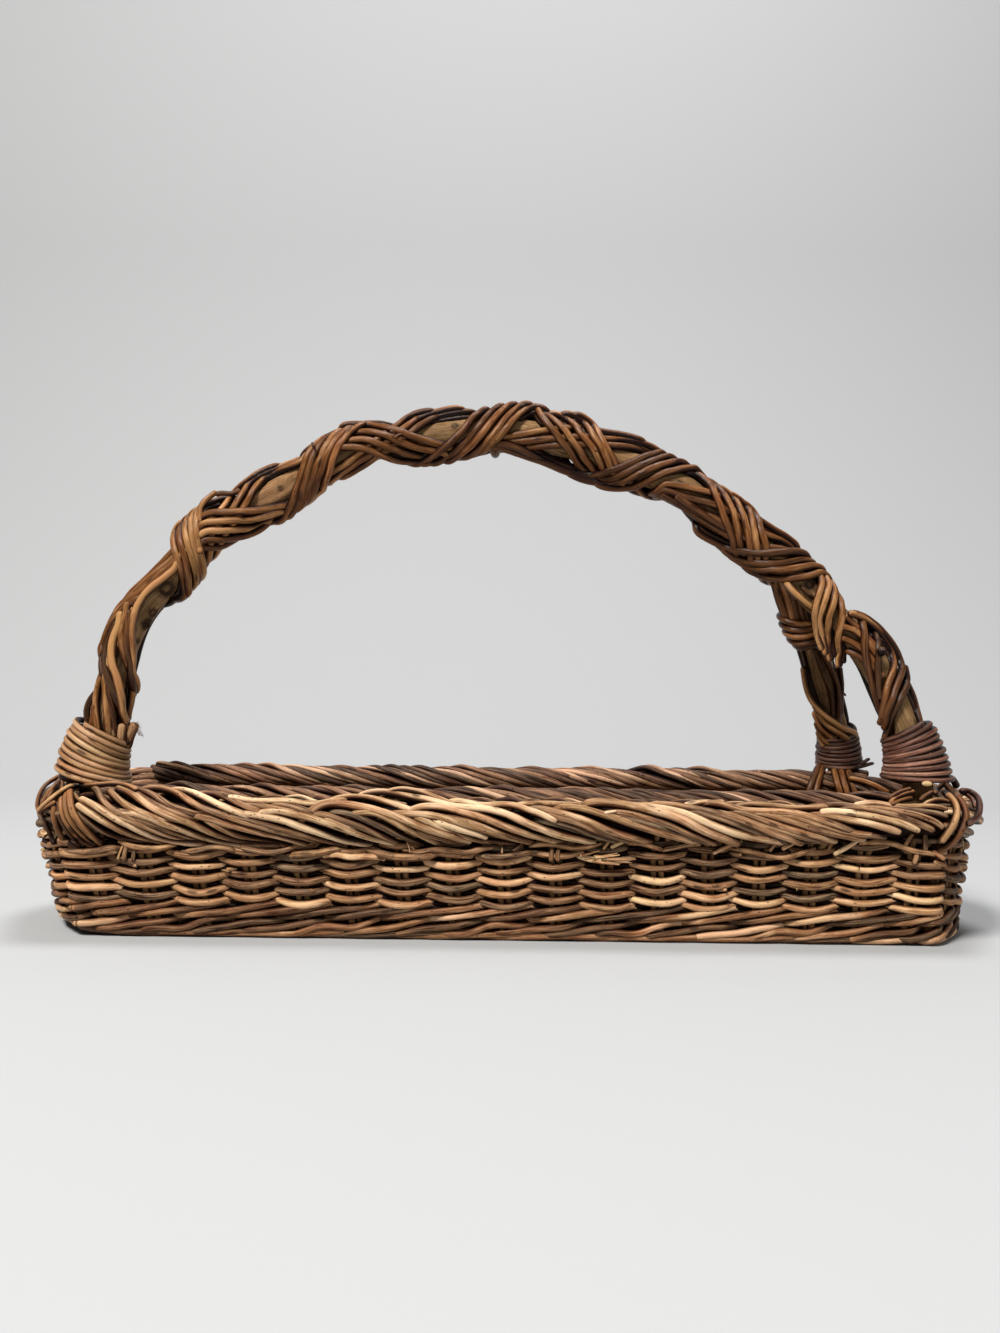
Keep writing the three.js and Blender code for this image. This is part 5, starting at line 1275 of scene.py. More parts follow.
# --- core rods
def core_rod(rods, bar, s0, s1, radius, tone, seed, knots=(), sides=44, step=1.1, shift=None):
    s = np.linspace(s0, s1, int((s1 - s0) / step))
    rng = rng_of(seed)
    radial0 = bar.radial(s, np.zeros(len(s)))
    p = bar.at(s, bar.p)
    rad = np.full(len(s), float(radius)) * (1 + 0.02 * np.sin(s / 31.0) + 0.012 * np.sin(s / 11.0 + 1))
    rods.add(p, rad, radial0, tone, seed, sides=sides, ends=("flat", "flat"), rough=0.02, wear=0.92, even=True)
    # knots, ridges and grain pressed into the surface that was just added
    V = rods.co[-2].reshape(-1, sides, 3)
    val = rods.val[-2].reshape(-1, sides, 4)
    m = len(V)
    centre = V.mean(1, keepdims=True)
    d0 = V - centre
    th = 2 * math.pi * np.arange(sides) / sides
    ss = np.concatenate([[s[0]], s, [s[-1]]])[:m]
    g = np.zeros((m, sides))
    for k in range(7):
        a, f, ph = rng.uniform(0.06, 0.16), rng.integers(2, 9), rng.random() * 6.28
        g += a * np.sin(f * th[None, :] + ph + ss[:, None] * rng.uniform(-0.02, 0.02) + rng.uniform(0, 0.8) * np.sin(ss[:, None] / rng.uniform(15, 40)))
    g += 0.05 * rng.normal(size=(m, sides))
    for ks, kpsi, size, deep in knots:
        dpsi = np.angle(np.exp(1j * (th[None, :] * PSI_SIGN - kpsi)))
        d = np.sqrt((ss[:, None] - ks) ** 2 + (dpsi * radius) ** 2)
        g += size * (0.20 * np.exp(-((d - size * 0.80) / (size * 0.22)) ** 2) * deep - 0.20 * np.exp(-((d - size * 0.52) / (size * 0.16)) ** 2) + 0.10 * np.exp(-(d / (size * 0.3)) ** 2))
        ring = 1.5 * np.exp(-((d - size * 0.58) / (size * 0.24)) ** 2) + 0.45 * np.exp(-((d - size * 1.0) / (size * 0.14)) ** 2)
        val[:, :, 3] = np.clip(val[:, :, 3] + ring * 1.0, 0, 1)
        val[:, :, 0] = np.clip(val[:, :, 0] - 0.3 * np.exp(-(d / (size * 0.45)) ** 2), 0, 1)
    scale = 1 + g / radius
    scale[0] = scale[-1] = 1
    V[:] = centre + d0 * scale[:, :, None]


# angle of a ring's point against psi: rods.add turns from the ref direction (front) towards T x N
_t, _b, _o = bow.t[200], bow.back[200], bow.out[200]
PSI_SIGN = 1.0 if np.dot(np.cross(_t, -_b), _o) > 0 else -1.0


def knot_at(px, py, size, deep):
    s, d = on_front(bow, [(px - 1, py), (px, py), (px + 1, py)], CORE_R, step=1.0)
    return (float(s[len(s) // 2]), math.asin(max(-0.9, min(0.9, float(d[len(d) // 2]) / CORE_R))), size, deep)


core = Rods()
knots = [knot_at(167, 587, 5.6, 1.0), knot_at(154, 611, 3.0, 0.8), knot_at(149, 622, 3.4, 0.7), knot_at(155, 629, 3.0, 0.6),
         knot_at(811, 584, 3.6, 0.8), knot_at(146, 643, 1.6, 0.2), knot_at(455, 424, 2.2, 0.3), knot_at(280, 487, 1.8, 0.2)]
core_rod(core, bow, 0.0, bow.length, CORE_R, 0.60, 5001, knots)
keep(core.build("handle_bow_rod", CORE), "handle_bow", slot="handle_core")

core = Rods()
core_rod(core, leg, 0.0, leg.length, 6.6, 0.50, 5002, [(leg.length * 0.60, 0.85, 4.4, 0.5), (leg.length * 0.30, 0.2, 2.2, 0.4)])
keep(core.build("inner_leg_rod", CORE), "inner_leg", slot="handle_core")

bow_cover = Cover(bow, CORE_R)
leg_cover = Cover(leg, 6.6)
under, over = Rods(), Rods()
hr = rng_of(61)

# the lowest rods: three in a bundle, crossing slowly, seen between the others
U = [
    [[(203, 524), (222, 508), (234, 492), (247, 480), (262, 470), (280, 463)],
     [(322, 476), (345, 462), (362, 450), (380, 436), (398, 423), (415, 413), (435, 408)],
     [(496, 436), (520, 433), (548, 429), (575, 427), (600, 430), (625, 434), (648, 441)],
     [(664, 481), (690, 486), (720, 495), (745, 508), (765, 523), (784, 534), (800, 546)]],
    [[(212, 530), (233, 507), (243, 492), (256, 477), (275, 468), (297, 460)],
     [(330, 479), (350, 465), (370, 452), (390, 438), (404, 427), (420, 417), (440, 410), (464, 406)],
     [(503, 440), (530, 439), (558, 437), (585, 436), (608, 438), (630, 439), (650, 445), (664, 454)],
     [(662, 487), (688, 496), (718, 505), (745, 520), (766, 534), (784, 541), (797, 551)]],
    [[(222, 536), (244, 506), (252, 491), (264, 478), (283, 468), (305, 459)],
     [(342, 477), (360, 466), (378, 454), (396, 442), (412, 430), (428, 420), (446, 413), (472, 410)],
     [(505, 446), (532, 445), (560, 443), (590, 443), (612, 444), (634, 447), (655, 455)],
     [(660, 493), (685, 506), (716, 517), (738, 531), (760, 548)]],
]
for j, (passes, tones) in enumerate(zip(U, ([0.8, 0.64, 0.52, 0.52, 0.62], [0.76, 0.66, 0.55, 0.42, 0.5], [0.8, 0.6, 0.46, 0.42, 0.4]))):
    strand(under, bow_cover, passes, 1, (1.95, 2.05, 2.0)[j], np.array(tones), 5100 + j, r=9.6, cap=9.4, lead=(30, 2.6), tail=(26, 2.2))

# rods that run up the left leg: upright ones below, then the ones that cross towards the outer side
upright = [
    ([(99, 742), (97, 722), (96, 702), (99, 684), (104, 668), (110, 652), (120, 634)], 1.9, 0.62),
    ([(108, 742), (107.5, 722), (106, 702), (105, 686), (107, 668), (114, 648), (126, 628)], 2.0, 0.76),
    ([(117, 742), (115, 722), (111, 704), (107, 688), (108, 670), (116, 652)], 1.7, 0.36),
    ([(90, 742), (92, 726), (94, 716), (95, 704)], 1.8, 0.55),
    ([(127, 742), (126, 724), (121, 706), (113, 690), (107, 672), (106, 655), (110, 638), (118, 620)], 2.5, 0.10),
    ([(103, 676), (102.5, 662), (105, 647), (112, 630)], 1.9, 0.2),
]
for j, (points, rad, tone) in enumerate(upright):
    strand(under, bow_cover, [points], 1, rad, tone, 5130 + j, r=9.5, cap=9.6, tail=(12, 0.3) if j < 3 else None)
bowed = [(85, 742), (84, 722), (84, 708), (88, 696), (95, 686), (102, 676), (106, 660), (112, 642)]
s_, d_ = on_front(bow, bowed, 13.0)
q = bow.at(s_, bow.p) + bow.at(s_, bow.out) * d_[:, None] - bow.at(s_, bow.back) * 2.0
under.add(gsmooth(q, 1.2), 1.75, -bow.at(s_, bow.back), 0.12, 5140, sides=10, rough=0.05)
CROSS = [
    ([(126, 724), (124, 710), (121, 695), (117, 680), (112.5, 664), (111.5, 650), (114, 636), (120, 623)], 2.35, 0.84),
    ([(127.5, 714), (130.5, 700), (132, 686), (129, 670), (123, 655), (120.5, 641), (121.5, 627), (127, 612)], 2.15, 0.66),
    ([(133, 690), (133.5, 678), (131, 664), (127, 650), (126, 636), (129, 620)], 2.0, 0.4),
]
for j, (points, rad, tone) in enumerate(CROSS):
    strand(under, bow_cover, [points], 1, rad, tone, 5150 + j, r=11.5, cap=11.4, lead=(6, 1.2), tail=(5, 0.3))

# the bundle of the other hand
D = [
    [[(120, 606), (131, 590), (149, 574), (170, 552), (190, 530), (203, 515), (230, 511), (255, 509), (275, 505), (290, 500)],
     [(338, 424), (362, 423), (385, 426), (405, 432), (425, 438), (447, 444), (464, 452)],
     [(572, 410), (590, 421), (602, 439), (613, 456), (621, 470)],
     [(741, 499), (753, 510), (759, 522), (764, 536), (769, 552)],
     [(841, 598), (844.5, 610), (843.5, 622), (841, 636), (839.5, 650), (839, 666)]],
    [[(108, 625), (120, 606), (137, 589), (159, 569), (184, 545), (203, 523), (230, 520), (258, 516), (282, 509)],
     [(342, 433), (365, 430), (385, 434), (402, 441), (420, 446), (440, 450), (456, 457)],
     [(562, 410), (580, 418), (592, 433), (604, 450), (613, 468)],
     [(731, 492), (745, 504), (752, 519), (756, 534), (760, 551)],
     [(835, 591), (835, 603), (831.5, 617), (829.5, 631), (829, 645), (831, 660)]],
    [[(103, 645), (111, 625), (125, 605), (143, 589), (164, 570), (186, 549), (204, 531), (227, 529), (250, 526), (273, 517)],
     [(342, 440), (362, 438), (382, 443), (400, 450), (420, 454), (438, 458)],
     [(550, 410), (569, 420), (583, 435), (595, 450), (605, 468)],
     [(721, 486), (735, 499), (743, 515), (749, 532), (753, 550)],
     [(829, 585), (827.5, 597), (823, 609), (821, 622), (823, 636), (827, 654)]],
    [[(187, 562), (195, 550), (203, 539), (225, 538), (250, 533), (266, 525)],
     [(339, 446), (358, 446), (378, 452), (398, 459), (418, 461), (432, 464)],
     [(537, 410), (556, 420), (570, 436), (583, 453), (597, 470)],
     [(711, 480), (724, 493), (733, 510), (738, 528), (743, 548)],
     [(823, 581), (820.5, 593), (817, 606), (815.5, 619), (817, 632), (822, 648)]],
    [[(538, 410 - 4), (540, 414), (550, 425), (561, 439), (574, 455), (588, 471)],
     [(699, 473), (712, 486), (720, 503), (727, 522), (735, 543)]],
]
for j, points in enumerate([[(662, 492), (680, 503), (698, 516), (716, 527), (738, 539)], [(676, 494), (694, 506), (710, 517), (728, 528)]]):
    strand(under, bow_cover, [points], 1, 2.2, 0.36, 5190 + j, r=9.8, cap=9.8)
strand(under, bow_cover, [[(196, 547), (204, 546), (212, 546.5), (222, 544.5), (232, 540), (243, 532)]], -1, 1.9, 0.3, 5195, r=10.6, cap=10.4)
D_TONES = ([0.42, 0.66, 0.56, 0.55, 0.5, 0.74], [0.46, 0.78, 0.58, 0.56, 0.58, 0.8], [0.5, 0.78, 0.48, 0.62, 0.62, 0.84],
           [0.5, 0.62, 0.42, 0.56, 0.56, 0.88], [0.5, 0.6])
for j, (passes, tones) in enumerate(zip(D, D_TONES)):
    strand(under, bow_cover, passes, -1, (2.1, 2.1, 2.1, 2.0, 2.1)[j], np.array(tones), 5200 + j, r=11.4, cap=11.2, lead=(16, 2.0) if j < 3 else None, tail=None if j < 4 else (30, 2.5))
keep(under.build("handle_wrap_under_rods", HANDLE), "handle_wrap_under", slot="handle_rods")

# the bundle on top
C = [
    [[(184, 600), (181, 582), (178, 566), (174, 551), (173, 538), (177, 526), (184, 517.5)],
     [(279, 524), (289, 505), (296, 485), (302, 467), (308, 453), (317, 442)],
     [(416, 465), (433, 454), (449, 441), (463, 427), (474, 413), (489, 404)],
     [(497, 440), (522, 447), (545, 459), (566, 469), (590, 473), (612, 469), (632, 461), (650, 453), (664, 449)],
     [(694, 530), (702, 534), (712, 539), (725, 545), (740, 549.5), (760, 552.5), (780, 552), (800, 550.5), (809, 554)]],
    [[(190, 594), (187, 577), (184, 561), (180.5, 546), (179, 533), (182, 523), (189, 514)],
     [(288, 519), (298, 500), (305, 480), (310, 463), (317, 447), (328, 435)],
     [(430, 465), (451, 452), (468, 437), (480, 422), (491, 409), (505, 401)],
     [(492, 443), (518, 451), (545, 461), (566, 470), (588, 475.5), (604, 476.5), (622, 473), (642, 464), (658, 457), (674, 453)],
     [(722, 549), (735, 555.5), (750, 560.5), (765, 562.5), (785, 561.5), (806, 558.5), (816, 561)]],
    [[(196, 584), (193, 567), (189.5, 552), (186, 538), (185.5, 526), (189, 516), (196, 508)],
     [(298, 509), (307, 490), (314, 472), (321, 454), (329, 440), (339, 429)],
     [(447, 463), (465, 448), (480, 434), (492, 419), (504, 407), (518, 400)],
     [(566, 471), (580, 477), (596, 481), (612, 481.5), (632, 476), (652, 467), (668, 461), (685, 459)],
     [(728, 553), (745, 563), (760, 568), (780, 569), (800, 567), (813, 565), (826, 568)]],
    [[(199, 573), (197, 560), (193.5, 546), (191.5, 533), (191.5, 521), (194, 512), (201, 504.5)],
     [(308, 498), (316, 482), (323, 464), (329, 449), (338, 436), (349, 426)],
     [(464, 458), (482, 444), (496, 429), (508, 414), (519, 405), (532, 400)],
     [(592, 481), (606, 486), (624, 487), (642, 482), (662, 472), (680, 467), (698, 465)],
     [(745, 567), (757, 572.5), (775, 577), (795, 577), (810, 575), (825, 572), (830, 577)]],
    [[(201.5, 562), (199, 549), (197, 536), (196.5, 523), (197.5, 513), (202, 505), (208, 499.5)],
     [(321, 489), (328, 473), (333, 456), (341, 441), (352, 429), (366, 421)],
     [(481, 450), (497, 437), (509, 423), (521, 411), (534, 405), (548, 408)]],
]
C_TONES = ([0.66, 0.66, 0.5, 0.4, 0.42, 0.42], [0.68, 0.56, 0.44, 0.42, 0.36, 0.38], [0.72, 0.6, 0.62, 0.4, 0.4, 0.5], [0.66, 0.66, 0.5, 0.5, 0.42, 0.48], [0.82, 0.7, 0.58])
for j, (passes, tones) in enumerate(zip(C, C_TONES)):
    strand(over, bow_cover, passes, 1, (2.15, 2.1, 2.15, 2.1, 2.1)[j], np.array(tones), 5300 + j, r=13.0, cap=12.0, tight=0.75, lead=(17, 2.4), tail=(10, 1.4) if j < 4 else (30, 2.6))
# the pale rod over the lower ones, the loose loop, small broken ends
strand(over, bow_cover, [[(134, 673), (133, 656), (131.5, 641), (131.5, 626), (134.5, 611), (141, 598), (150, 587), (163, 577), (176, 566)]], 1, 2.1, 0.84, 5330, r=11.4, cap=11.4, lead=(9, 1.1), tail=(4, 0.2))
for j, points in enumerate([[(102, 654), (106, 635), (115, 617), (130, 603), (146, 592), (160, 578)], [(104, 640), (113, 618), (125, 604), (139, 596)]]):
    strand(over, bow_cover, [points], -1, 1.9, 0.45 + 0.1 * j, 5334 + j, r=11.0, cap=10.9, tight=0.8)
s_, d_ = on_front(bow, [(200, 552), (198, 538), (198, 524), (200, 511), (205, 503), (212, 496), (218, 491.5)], 13.0)
q = bow.at(s_, bow.p) + bow.at(s_, bow.out) * np.clip(d_, -99, 15.2)[:, None] - bow.at(s_, bow.back) * np.linspace(11.8, 6.0, len(s_))[:, None]
over.add(gsmooth(q, 1.0), np.linspace(2.0, 1.5, len(q)), -bow.at(s_, bow.back), 0.7, 5340, sides=10, ends=("round", "cut"), slant=(0, 0.5), rough=0.08)
s_, d_ = on_front(bow, [(214, 491), (222, 493), (232, 492), (240, 488)], 12.0)
q = bow.at(s_, bow.p) + bow.at(s_, bow.out) * np.clip(d_, -99, 13.5)[:, None] - bow.at(s_, bow.back) * 6.0
over.add(gsmooth(q, 1.0), np.linspace(1.3, 1.6, len(q)), -bow.at(s_, bow.back), 0.35, 5341, sides=8, rough=0.15)
for j, (px, py, dx, dy, r0) in enumerate([(314, 446, -1.5, -4.0, 1.2), (596, 449, 3, 2, 0.7), (395, 436, 6, -3, 1.0), (391, 430, 5, 3, 0.9), (888, 733, -5, -6, 1.4), (842, 692, 3, 1.5, 1.0)]):
    y_ = 28.0 if px == 842 else -19.0
    a, b = seen(px, py, y_), seen(px + dx, py + dy, y_ + 1.0)
    over.add(spline([a, (a + b) / 2 + np.array([0, -0.6, 0.3]), b], 1.0), np.linspace(r0, r0 * 0.6, len(spline([a, (a + b) / 2 + np.array([0, -0.6, 0.3]), b], 1.0))), (0, -1, 0), 0.2 + 0.1 * (j % 3), 5350 + j, sides=7, rough=0.2, ends=("round", "cut"))

# the outer right leg
RIGHT = [
    ([(846, 615), (856, 625), (867, 636), (878, 650)], 1.9, 0.5, 9.4),
    ([(843, 625), (857, 631), (868, 642), (880, 658)], 1.9, 0.55, 9.4),
    ([(843, 637), (856, 643), (868, 653), (880, 668)], 1.9, 0.6, 9.4),
    ([(846, 649), (858, 655), (870, 663), (884, 676)], 1.9, 0.5, 9.4),
    ([(904, 664), (907, 684), (899, 703), (890, 722), (884, 738)], 2.1, 0.22, 10.6),
    ([(905, 678), (913, 694), (918, 712), (922, 728)], 1.7, 0.35, 9.4),
    ([(861, 616), (865, 632), (866, 650), (869, 668), (876, 690), (883, 712)], 2.1, 0.46, 11.2),
    ([(868, 620), (877, 636), (879, 655), (879, 676), (882, 700)], 1.9, 0.14, 10.6),
    ([(850, 613), (860, 616), (872, 624), (884, 636), (893, 650), (896, 665), (889, 687), (883, 708), (880, 724)], 2.0, 0.58, 12.2),
    ([(854, 613), (871, 620), (888, 637), (899, 655), (902, 672), (896, 692), (887, 712), (883, 728)], 2.0, 0.4, 12.0),
]
for j, (points, rad, tone, cap) in enumerate(RIGHT):
    strand(over, bow_cover, [points], 1, rad, tone, 5360 + j, r=cap, cap=cap, tight=0.9, soft=2.0)
s_, d_ = on_front(bow, [(882, 652), (882.5, 653)], 12.0, step=1.0)
q = bow.at(s_, bow.p) + bow.at(s_, bow.out) * d_[:, None] - bow.at(s_, bow.back) * 12.4
over.add(np.vstack([q[0], q[0] + [0.4, -0.9, 0.2], q[0] + [0.7, -1.8, 0.3]]), np.array([2.6, 2.3, 1.5]), (0, 0, 1), 0.1, 5380, sides=12, ends=("round", "round"))
# both legs from behind, where only guesses can be made: rods that run down the leg
hb = rng_of(5900)
for lo_s, hi_s, twist, seed_ in ((bow.near(-209.9, 102.3, 0, 200) - 3.0, on_bow(172, 562), -1, 5900), (on_bow(832, 592), bow.near(212.2, 107.4, bow.length - 200) + 3.0, 1, 5930)):
    for j in range(6):
        f = np.linspace(0, 1, 44)
        psi = math.pi + math.radians(-46 + 18.5 * j) * (1 - 0.25 * np.sin(math.pi * f)) + twist * math.radians(13) * np.sin(2.3 * math.pi * f + 0.5 * j)
        psi = math.pi + math.radians(54) * np.tanh((psi - math.pi) / math.radians(54))
        wind(over, bow_cover, lo_s + (hi_s - lo_s) * f, psi, 1.8 + 0.2 * hb.random(), float(hb.uniform(0.25, 0.7)), seed_ + j, cap=9.6, soft=2.0)
keep(over.build("handle_wrap_over_rods", HANDLE), "handle_wrap_over", slot="handle_rods")

# --- inner leg: straps from the fork, upright rods, the collar, the rods that spiral down
collar = Rods()
# the grey strap that runs from under the top bundle to the collar, and the ones left of it
p = spline([seen(782, 574, -10), seen(787, 583, -17), seen(795, 592, -20.5), (seen(806, 602, -20)), seen(818, 609.5, -15), seen(824, 613, -8)], 1.6)
collar.add(p, 1.95, (0, -1, 0), 0.78, 5400, sides=12, rough=0.06)
p = spline([seen(792, 574, -8), seen(800, 584, -16), seen(809, 593, -18), seen(820, 600, -14)], 1.6)
collar.add(p, 1.0, (0, -1, 0), 0.2, 5401, sides=8, rough=0.06)
for j, (points, y0, y1, rad, tone) in enumerate([
        ([(771, 572), (776, 588), (780, 602), (788, 622)], -9, 0, 2.1, 0.62), ([(779, 572), (784, 588), (788, 602), (794, 624)], -11, -1, 2.2, 0.74),
        ([(788, 576), (791, 590), (794, 604), (799, 624)], -11, -1, 1.9, 0.44), ([(797, 584), (799, 598), (801, 610), (806, 626)], -10, -1, 1.9, 0.28),
        ([(804, 594), (806, 606), (808, 616), (812, 628)], -9, -1, 1.8, 0.2), ([(783, 574), (787, 590), (791, 604), (797, 624)], -7, 1, 2.2, 0.08), ([(800, 590), (803, 604), (806, 616), (810, 628)], -5, 2, 2.4, 0.06)]):
    q = [seen(px, py, y0 + (y1 - y0) * k / 3) for k, (px, py) in enumerate(points)]
    collar.add(spline(q, 1.6), rad, (0, -1, 0), tone, 5410 + j, sides=10, rough=0.05)
for j, (points, rad, tone) in enumerate([
        ([(783, 612, 12), (779, 614.5, 5), (784, 618.5, -2.5), (794, 622, -5), (806, 622.5, -5), (816, 622, -3), (828, 620, 3)], 1.75, 0.56), ([(786, 619, 13), (781, 622, 6), (787, 626.5, -2), (797, 629.5, -5.5), (808, 628.5, -5.5), (817, 627, -3), (829, 626, 3)], 1.7, 0.42),
        ([(789, 627, 14), (784.5, 629.5, 7), (790, 634, -1.5), (800, 636, -5), (810, 634, -5), (818, 632.5, -3), (830, 631, 4)], 1.8, 0.66), ([(794, 634, 15), (789, 636.5, 8), (794, 641, 0), (803, 642.5, -4), (812, 640.5, -4), (820, 638, -2), (831, 637, 5)], 1.75, 0.46),
        ([(799, 641, 16), (794, 642.5, 9), (799, 646.5, 2), (808, 646, -2.5), (816, 643, -2.5), (824, 641, 1)], 1.5, 0.24)]):
    ring = list(points) + [(points[-1][0] - 8, points[-1][1] - 2, 15), ((points[0][0] + points[-1][0]) / 2, points[0][1] - 1, 19.5), (points[0][0] + 3, points[0][1] - 0.5, 17)]
    p = gsmooth(spline([seen(*q) for q in ring], 1.4), 1.2)
    mid_ = leg.at(np.array([leg.near(x[0], x[2]) for x in p]), leg.p)
    collar.add(p, rad, unit(p - mid_), tone, 5420 + j, sides=12, rough=0.05)
keep(collar.build("inner_leg_collar_rods", HANDLE), "inner_leg_collar", slot="handle_rods")
spiral = Rods()
for j, (points, rad, tone, cap, lf) in enumerate([
        ([(799, 638), (804, 654), (809, 670), (815, 686), (822, 702), (826, 726)], 1.9, 0.24, 8.6, 0), ([(826, 640), (833, 656), (838.5, 672), (842.5, 694), (843.5, 716)], 1.8, 0.34, 8.6, 0), ([(805, 640), (809, 656), (813, 672), (819, 688), (826, 704)], 1.3, 0.12, 8.2, 0), ([(820, 640), (826, 656), (832, 672), (837, 690), (839, 712)], 1.5, 0.16, 8.2, 0),
        ([(840, 660), (843, 684), (845, 706)], 1.5, 0.24, 8.6, 0), ([(822, 706), (826, 722), (829, 742)], 1.9, 0.36, 8.6, 0),
        ([(808, 662), (809.5, 676), (814, 689), (823, 699), (836, 708), (848, 717), (857, 728)], 1.95, 0.84, 11, 0.3), ([(820, 696), (827, 708), (840, 718), (853, 730)], 2.0, 0.66, 11, 0.2),
        ([(820, 706), (826, 719), (838, 729), (850, 738)], 2.1, 0.74, 11, 0.1), ([(821, 718), (827, 729), (836, 739)], 2.0, 0.62, 11, 0.1), ([(821.5, 728), (825, 735), (831, 742)], 1.8, 0.7, 11, 0.1)]):
    s, d = on_front(leg, points, 9.5)
    psi = np.arcsin(np.clip(d / 9.5, -0.97, 0.97))
    wind(spiral, leg_cover, s, psi, rad, tone, 5440 + j, lateral=d, cap=cap, lift=lf)
lo_s, hi_s = sorted((leg.near(*seen(804, 640, 5.0)[[0, 2]]), leg.near(191.6, 104.6)))
for j in range(5):      # from behind
    f = np.linspace(0, 1, 36)
    psi = math.pi + math.radians(-44 + 22 * j) + math.radians(7) * np.sin(2.1 * math.pi * f + j)
    wind(spiral, leg_cover, lo_s + (hi_s - lo_s) * f, psi, 1.6, 0.3 + 0.08 * ((j * 3) % 5), 5470 + j, cap=8.2, soft=2.0)
keep(spiral.build("inner_leg_wrap_rods", HANDLE), "inner_leg_wrap", slot="handle_rods")


# --- bindings
def binding(name, node, bar, s_top, s_foot, r_top, r_foot, turns, tilt_deg, material, slot_, seed, tone, rad, own=0.14, top_tail=None, foot_tail=None):
    """A thin rod coiled round a leg, with the plane of its turns tipped to one side."""
    rods = Rods()
    n = int(turns * 34)
    f = np.linspace(0, 1, n)
    psi = -2 * math.pi * turns * f + 0.6
    s = s_top + (s_foot - s_top) * f
    axis = unit((bar.at(np.array([s_foot]), bar.p) - bar.at(np.array([s_top]), bar.p)))[0]
    centre = bar.at(s, bar.p)
    radial = bar.radial(s, psi)
    rng = rng_of(seed)
    r = r_top + (r_foot - r_top) * f + wander(rng, f * turns, 1.7, 0.34) + wander(rng, f * turns, 0.6, 0.16)
    side_ = radial[:, 0]
    tilt = np.tan(np.radians(tilt_deg[0] + (tilt_deg[1] - tilt_deg[0]) * f))
    p = centre + radial * r[:, None] - axis[None, :] * (r * side_ * tilt)[:, None] * -1.0 * (1 + 0.10 * wander(rng_of(seed + 7), f * turns, 2.6, 1.0))[:, None]
    p += axis[None, :] * wander(rng, f * turns, 1.3, 0.25)[:, None]
    if top_tail is not None:
        p = np.vstack([top_tail(p[0], radial[0]), p])
    if foot_tail is not None:
        p = np.vstack([p, foot_tail(p[-1], radial[-1])])
    extra0 = len(p) - n
    ref = p - bar.at(np.array([bar.near(q[0], q[2], min(s_top, s_foot) - 20, max(s_top, s_foot) + 20) for q in p]), bar.p)
    tn = tone + wander(rng, np.arange(len(p)) / 34.0, 2.2, own)
    # what the coil is laid on, seen only between its turns and painted near-black as shade
    g = np.linspace(0.10, 0.96, 24)
    rods.add(bar.at(s_top + (s_foot - s_top) * g, bar.p), r_top + (r_foot - r_top) * g - 0.9 * rad, bar.radial(s_top + (s_foot - s_top) * g, np.zeros(24)), 0.02, seed + 9, sides=36, ends=("flat", "flat"), rough=0.01, wear=0.15)
    rods.add(gsmooth(p, 0.8), rad * (1 + 0.06 * np.sin(np.arange(len(p)) / 60.0)), unit(ref), tn, seed, sides=12, ends=("cut", "cut"), rough=0.045)
    return rods


lb = binding("left", "left_binding", bow, bow.near(-209.9, 102.3, 0, 200), bow.near(-214.6, 76.0, 0, 200), 13.7, 19.6, 8.6, (15, 13), PALEBIND, "pale_binding_rods", 5501, 0.64, 1.6)
# cut ends of the handle's rods standing up out of the binding
for j, (top_, foot_, y_, rr) in enumerate([((112.5, 724), (113, 746), -19.0, 2.3), ((122, 725), (121, 747), -17.5, 2.3), ((134.5, 724), (127.5, 744), -15.5, 2.5)]):
    p = spline([seen(*foot_, y_ + 2), seen((top_[0] + foot_[0]) / 2 - 0.5, (top_[1] + foot_[1]) / 2, y_), seen(*top_, y_)], 2.0)
    lb.add(p, rr, (0, -1, 0), (0.5, 0.6, 0.42)[j], 5520 + j, sides=12, ends=("round", "round"), rough=0.08)
for j in range(9):
    a0 = seen(134.5 + 0.5 * j, 722 + 1.4 * j, -17.5)
    p = spline([a0, a0 + np.array([1.3 + 0.14 * j, -0.4, 0.5 - 0.15 * j]), a0 + np.array([2.4 + 0.2 * (j % 4), -0.2, 0.9 - 0.3 * j])], 0.6)
    lb.add(p, np.linspace(0.28, 0.10, len(p)), (0, -1, 0), 0.15, 5530 + j, sides=5)
keep(lb.build("left_binding_rod", PALEBIND), "left_binding", slot="pale_binding_rods")
rbn = binding("right", "right_binding", bow, bow.near(212.2, 107.4, bow.length - 200), bow.near(218.6, 81.0, bow.length - 200), 12.3, 17.0, 9.4, (-6, 8), REDBIND, "dark_binding_rods", 5601, 0.44, 1.5, own=0.24)
# a pale cut end that faces out below the binding
tip = seen(927, 782.3, -38)
p = spline([tip + np.array([3.0, 12.0, 1.2]), tip + np.array([1.2, 6.0, 0.6]), tip], 1.5)
rbn.add(p, 2.7, (0, 0, 1), 0.6, 5650, sides=16, ends=("round", "cut"), slant=(0, 0.0), flat=0.52)
keep(rbn.build("right_binding_rod", REDBIND), "right_binding", slot="dark_binding_rods")
ibn = binding("inner", "inner_binding", leg, leg.near(191.6, 104.6), leg.near(196.5, 83.2), 9.9, 12.7, 8.4, (2, 5), REDBIND, "dark_binding_rods", 5701, 0.20, 1.32, own=0.14)
base = leg.at(np.array([leg.near(196.5, 82)]), leg.p)[0]
for j, (px, py) in enumerate([(872, 762), (868, 758)]):
    tip = seen(px, py, 40)
    p = spline([base + np.array([6, -8, 1.5 * j]), base + np.array([10, -9, 1.0 + 1.5 * j]), tip], 1.6)
    ibn.add(p, np.linspace(1.4, 1.0, len(p)), (0, -1, 0), 0.12, 5750 + j, sides=8, ends=("round", "cut"))
keep(ibn.build("inner_binding_rod", REDBIND), "inner_binding", slot="dark_binding_rods")

